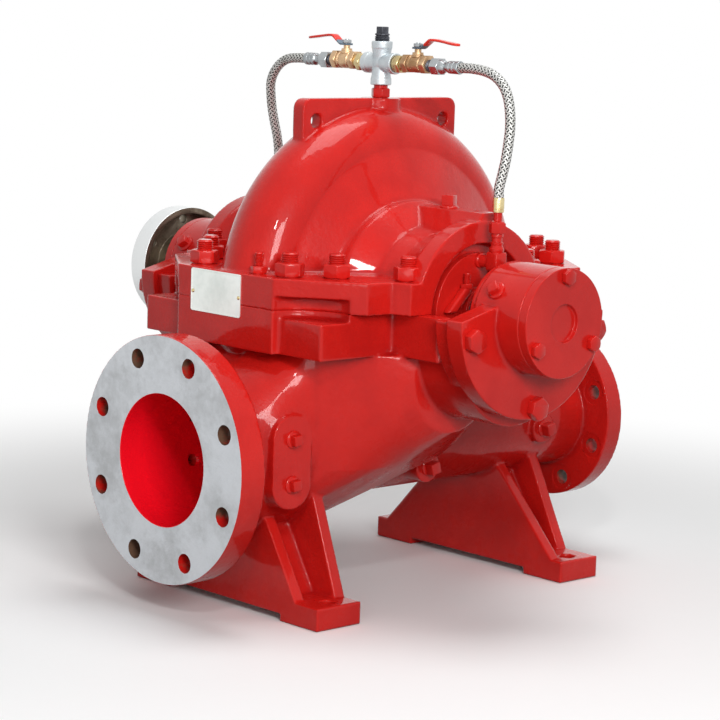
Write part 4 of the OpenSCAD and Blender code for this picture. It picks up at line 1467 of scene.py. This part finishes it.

# %% [markdown]
# Inside the bolt holes the paint is thin and rusty. In the bores' mouths a brighter red is painted in as
# the
#  light that falls into them, and it fades with depth. The masks mix both into the film, and leave bare
#  iron on the machined faces.

# %% Casting finish
BORE_LIT_RED = rgb(246, 16, 34)
HOLE_RUST = rgb(104, 78, 62)
FACE_BORDER = {"bore": 1.5, "rim": 0.6, "back": 1}


def casting_enamel():
    """Enamel with bare machined port faces, rusty bolt holes and painted light in the bores' mouths."""
    material, tree, shader, film = enamel("casting_enamel", 1.0, 0.5)
    skin = use_group(tree, bare_metal, {
        "Bright": rgb(206, 209, 213), "Stain": rgb(180, 182, 184), "Gloss": 0.42, "Scale": 0.9,
    })
    masks = []
    for port in (SUCTION, DISCHARGE):
        masks.append(use_group(tree, port_mask, {
            "Face": port["face"], "Way": float(port["way"]),
            "Inner": (port["bore"] + FACE_BORDER["bore"]) * MM,
            "Outer": (port["rim"] - FACE_BORDER["rim"]) * MM,
            "Deep": (port["deep"] - FACE_BORDER["back"]) * MM,
        }))
    machined = calc(tree, "MAXIMUM", masks[0]["Machined"], masks[1]["Machined"])
    holes = calc(tree, "MAXIMUM", masks[0]["Holes"], masks[1]["Holes"])
    where = place(tree, "ShaderNodeTexCoord").outputs["Object"]
    worn = ease(tree, noise(tree, where, 26.0, 4.0), 0.40, 0.56)
    bores = calc(tree, "MAXIMUM", masks[0]["Bore"], masks[1]["Bore"])
    # Painted light: a brighter red in the bores' mouths.
    color = tint(tree, bores, film["Color"], BORE_LIT_RED)
    color = tint(tree, calc(tree, "MULTIPLY", holes, worn), color, HOLE_RUST)
    wire(tree, shader.inputs["Base Color"], tint(tree, machined, color, skin["Color"]))
    wire(tree, shader.inputs["Metallic"], calc(tree, "MULTIPLY", machined, 0.85))
    painted = calc(tree, "SUBTRACT", 1.0, machined)
    film_gloss = calc(tree, "MULTIPLY", film["Roughness"], painted)
    bare_gloss = calc(tree, "MULTIPLY", skin["Roughness"], machined)
    wire(tree, shader.inputs["Roughness"], calc(tree, "ADD", film_gloss, bare_gloss))
    wire(tree, shader.inputs["Coat Weight"], calc(tree, "MULTIPLY", painted, COAT))
    return material


casting_paint = casting_enamel()
print("material", casting_paint.name, "nodes", len(casting_paint.node_tree.nodes))

# %% [markdown]
# Behind the suction flange the real chamber swells in one long curve, where the CAD has a wall with
# corners. A convex hull over the neck's circle and the trough's arcs fills it out, and many passes of
# smoothing blend the filling in. The blend keeps clear of the gauge bosses, which it would melt away.

# %% Suction chamber
NECK_Y = -0.292
NECK_RADIUS = 0.090
NECK_POINTS = 96
TROUGH = {"y": -0.052, "z": 0.305, "radius": 0.1445, "half": 0.111, "turn": 100, "step": 4}
CHAMBER_LOW = np.array((0.015, -0.285, 0.170))
CHAMBER_HIGH = np.array((0.172, -0.085, 0.304))
CHAMBER_MARGIN = np.array((0.022, 0.022, 0.010))
BOSS_GUARD = (0.030, 0.044)


def chamber_shoulders():
    """Convex body from the neck behind the flange to the trough of the suction chamber."""
    points = []
    for step in range(NECK_POINTS):
        turn = 2 * math.pi * step / NECK_POINTS
        points.append((NECK_RADIUS * math.cos(turn), NECK_Y, BORE_HEIGHT + NECK_RADIUS * math.sin(turn)))
    for degrees in range(0, TROUGH["turn"] + 1, TROUGH["step"]):
        turn = math.radians(degrees)
        y = TROUGH["y"] - TROUGH["radius"] * math.cos(turn)
        z = TROUGH["z"] - TROUGH["radius"] * math.sin(turn)
        points += [(TROUGH["half"], y, z), (-TROUGH["half"], y, z)]
    mesh = bpy.data.meshes.new("chamber_shoulders")
    mesh.from_pydata(points, [], [])
    body = add_piece("chamber_shoulders", mesh)
    choose(body)
    bpy.ops.object.mode_set(mode="EDIT")
    bpy.ops.mesh.select_all(action="SELECT")
    bpy.ops.mesh.convex_hull()
    bpy.ops.object.mode_set(mode="OBJECT")
    return body


def chamber_blend(points):
    """1 on the shoulders of the suction chamber, 0 away from them and around the gauge bosses."""
    places = points.copy()
    places[:, 0] = np.abs(places[:, 0])
    inside = np.minimum(places - CHAMBER_LOW, CHAMBER_HIGH - places) / CHAMBER_MARGIN
    weight = np.clip(inside, 0, 1).prod(1)
    middle = sum(GAUGE_HEIGHTS) / 2
    half = (GAUGE_HEIGHTS[1] - GAUGE_HEIGHTS[0]) / 2
    rise = np.maximum(np.abs(places[:, 2] - middle) - half, 0)
    away = np.hypot(places[:, 1] - GAUGE_Y, rise)
    return weight * np.clip((away - BOSS_GUARD[0]) / (BOSS_GUARD[1] - BOSS_GUARD[0]), 0, 1)


print("chamber from", NECK_Y, "to", TROUGH["y"], "m along the bore")

# %% [markdown]
# Now the castings are poured. Both halves of the casing get squares of 2.1 mm. The lower half is filled
# out, and it is machined before it is shaded, so that its faces, bores and drilled holes keep crisp
# borders.

# %% Casing halves
CASING_CAST = {"voxel": 0.0021, "passes": 16, "triangles": 170000}

lower, points, hollow = cast_copy(
    "lower_casing", "lower_casing_cast", **CASING_CAST, filling=chamber_shoulders(), blend=chamber_blend
)
tools = [port_tools(SUCTION), port_tools(DISCHARGE)]
for port in (SUCTION, DISCHARGE):
    tools.append(bolt_circle(port, port["hole"] + HOLE_PLAY, -4, port["deep"] + 6))
tools += [bolt_circle(DISCHARGE, **SPOT_FACE), foot_drills(), gauge_taps()]
for tool in tools:
    apply_boolean(lower, tool, "DIFFERENCE", "MANIFOLD")
keep_hollow(lower, points, hollow)
dress(lower, casting_paint, "root", "casing_paint", "lower_casing", angle=40)
for port in (SUCTION, DISCHARGE):
    crisp_border(lower, port["face"] + port["way"] * SKIM * MM)
level_normals(lower)
upper, points, hollow = cast_copy("upper_casing", "upper_casing_cast", **CASING_CAST)
keep_hollow(upper, points, hollow)
dress(upper, casting_paint, "root", "casing_paint", "upper_casing", angle=40)
level_normals(upper)
print("casing triangles", len(lower.data.polygons), len(upper.data.polygons))

# %% [markdown]
# The bearing housings are smaller castings with finer corners, so their squares are smaller too: 1.6 mm.

# %% Bearing housings
HOUSING_CAST = {"voxel": 0.0016, "passes": 10, "triangles": 60000}

for side in ("outboard", "drive"):
    node = "bearing_housing_" + side
    housing, points, hollow = cast_copy(node, "bearing_housing_cast_" + side, **HOUSING_CAST)
    keep_hollow(housing, points, hollow)
    dress(housing, enamel_hardware, "root", "casing_paint", node, angle=40)
    level_normals(housing)

# %% [markdown]
# The stage is a plain pale floor. It fades to plain white away from the pump, for the camera and for
# reflections, and keeps the pump's shadow. As a light, it gives back less, so that the feet stay in shade.

# %% Floor
FLOOR_HALF = 9.0
FLOOR_Z = -0.0005
FADE_FROM = 0.55
FADE_TO = 1.35
FLOOR_BOUNCE = rgb(112, 112, 112)


def seen_rays(tree):
    """1 for what the camera sees, straight, in a reflection or through glass."""
    path = place(tree, "ShaderNodeLightPath").outputs
    seen = calc(tree, "MAXIMUM", path["Is Camera Ray"], path["Is Glossy Ray"])
    return calc(tree, "MAXIMUM", seen, path["Is Transmission Ray"])


def pale_floor():
    """Large pale floor that fades to white around the pump."""
    deselect()
    bpy.ops.mesh.primitive_plane_add(size=2 * FLOOR_HALF, location=(0, 0, FLOOR_Z))
    floor = bpy.context.object
    floor.name = "floor"
    bpy.ops.object.transform_apply(location=True)
    material, tree, shader = new_material("floor_pale", Roughness=0.75)
    where = place(tree, "ShaderNodeTexCoord").outputs["Object"]
    speck = calc(tree, "MULTIPLY", noise(tree, where, 40.0, 2.0), 0.1)
    pale = tint(tree, speck, rgb(248, 248, 248), rgb(238, 238, 238))
    away = place(tree, "ShaderNodeVectorMath", {0: where}, operation="LENGTH").outputs["Value"]
    white = place(tree, "ShaderNodeEmission", {"Color": (1, 1, 1, 1), "Strength": 1.0})
    seen = seen_rays(tree)
    wire(tree, shader.inputs["Base Color"], tint(tree, seen, FLOOR_BOUNCE, pale))
    share = calc(tree, "MULTIPLY", ease(tree, away, FADE_FROM, FADE_TO), seen)
    mix = place(tree, "ShaderNodeMixShader", {0: share, 1: shader.outputs[0], 2: white.outputs[0]})
    wire(tree, tree.nodes["Material Output"].inputs["Surface"], mix.outputs[0])
    floor.data.materials.append(material)


pale_floor()
print("floor fades from", FADE_FROM, "to", FADE_TO, "m")

# %% [markdown]
# The light is soft studio light: a key light at the front right, a small one beside it for glints on edges,
# a weak fill into the suction bore, one overhead, and a pale world.

# %% Light
WORLD_LIGHT = 0.22
LAMP_TARGET = Vector((0, 0, 0.28))


def studio_lamp(name, place_at, size, watts):
    """Square area lamp aimed at the pump."""
    bpy.ops.object.light_add(type="AREA", location=place_at)
    lamp = bpy.context.object
    lamp.name = name
    lamp.data.size = size
    lamp.data.energy = watts
    lamp.rotation_euler = (LAMP_TARGET - Vector(place_at)).to_track_quat("-Z", "Y").to_euler()


def pale_world():
    """White to the camera and to reflections, softer as a light."""
    world = bpy.data.worlds.new("studio")
    bpy.context.scene.world = world
    world.use_nodes = True
    tree = world.node_tree
    strength = calc(tree, "ADD", WORLD_LIGHT, calc(tree, "MULTIPLY", seen_rays(tree), 1 - WORLD_LIGHT))
    background = tree.nodes["Background"]
    background.inputs["Color"].default_value = (1, 1, 1, 1)
    wire(tree, background.inputs["Strength"], strength)


pale_world()
studio_lamp("key", (2.5, -1.3, 1.3), 0.8, 42)
studio_lamp("spark", (2.0, -1.8, 1.9), 0.2, 14)
studio_lamp("fill", (1.8, -2.5, 0.6), 1.0, 12)
studio_lamp("top", (0.2, 0.2, 2.6), 1.2, 28)
bpy.context.scene.view_settings.view_transform = "Standard"
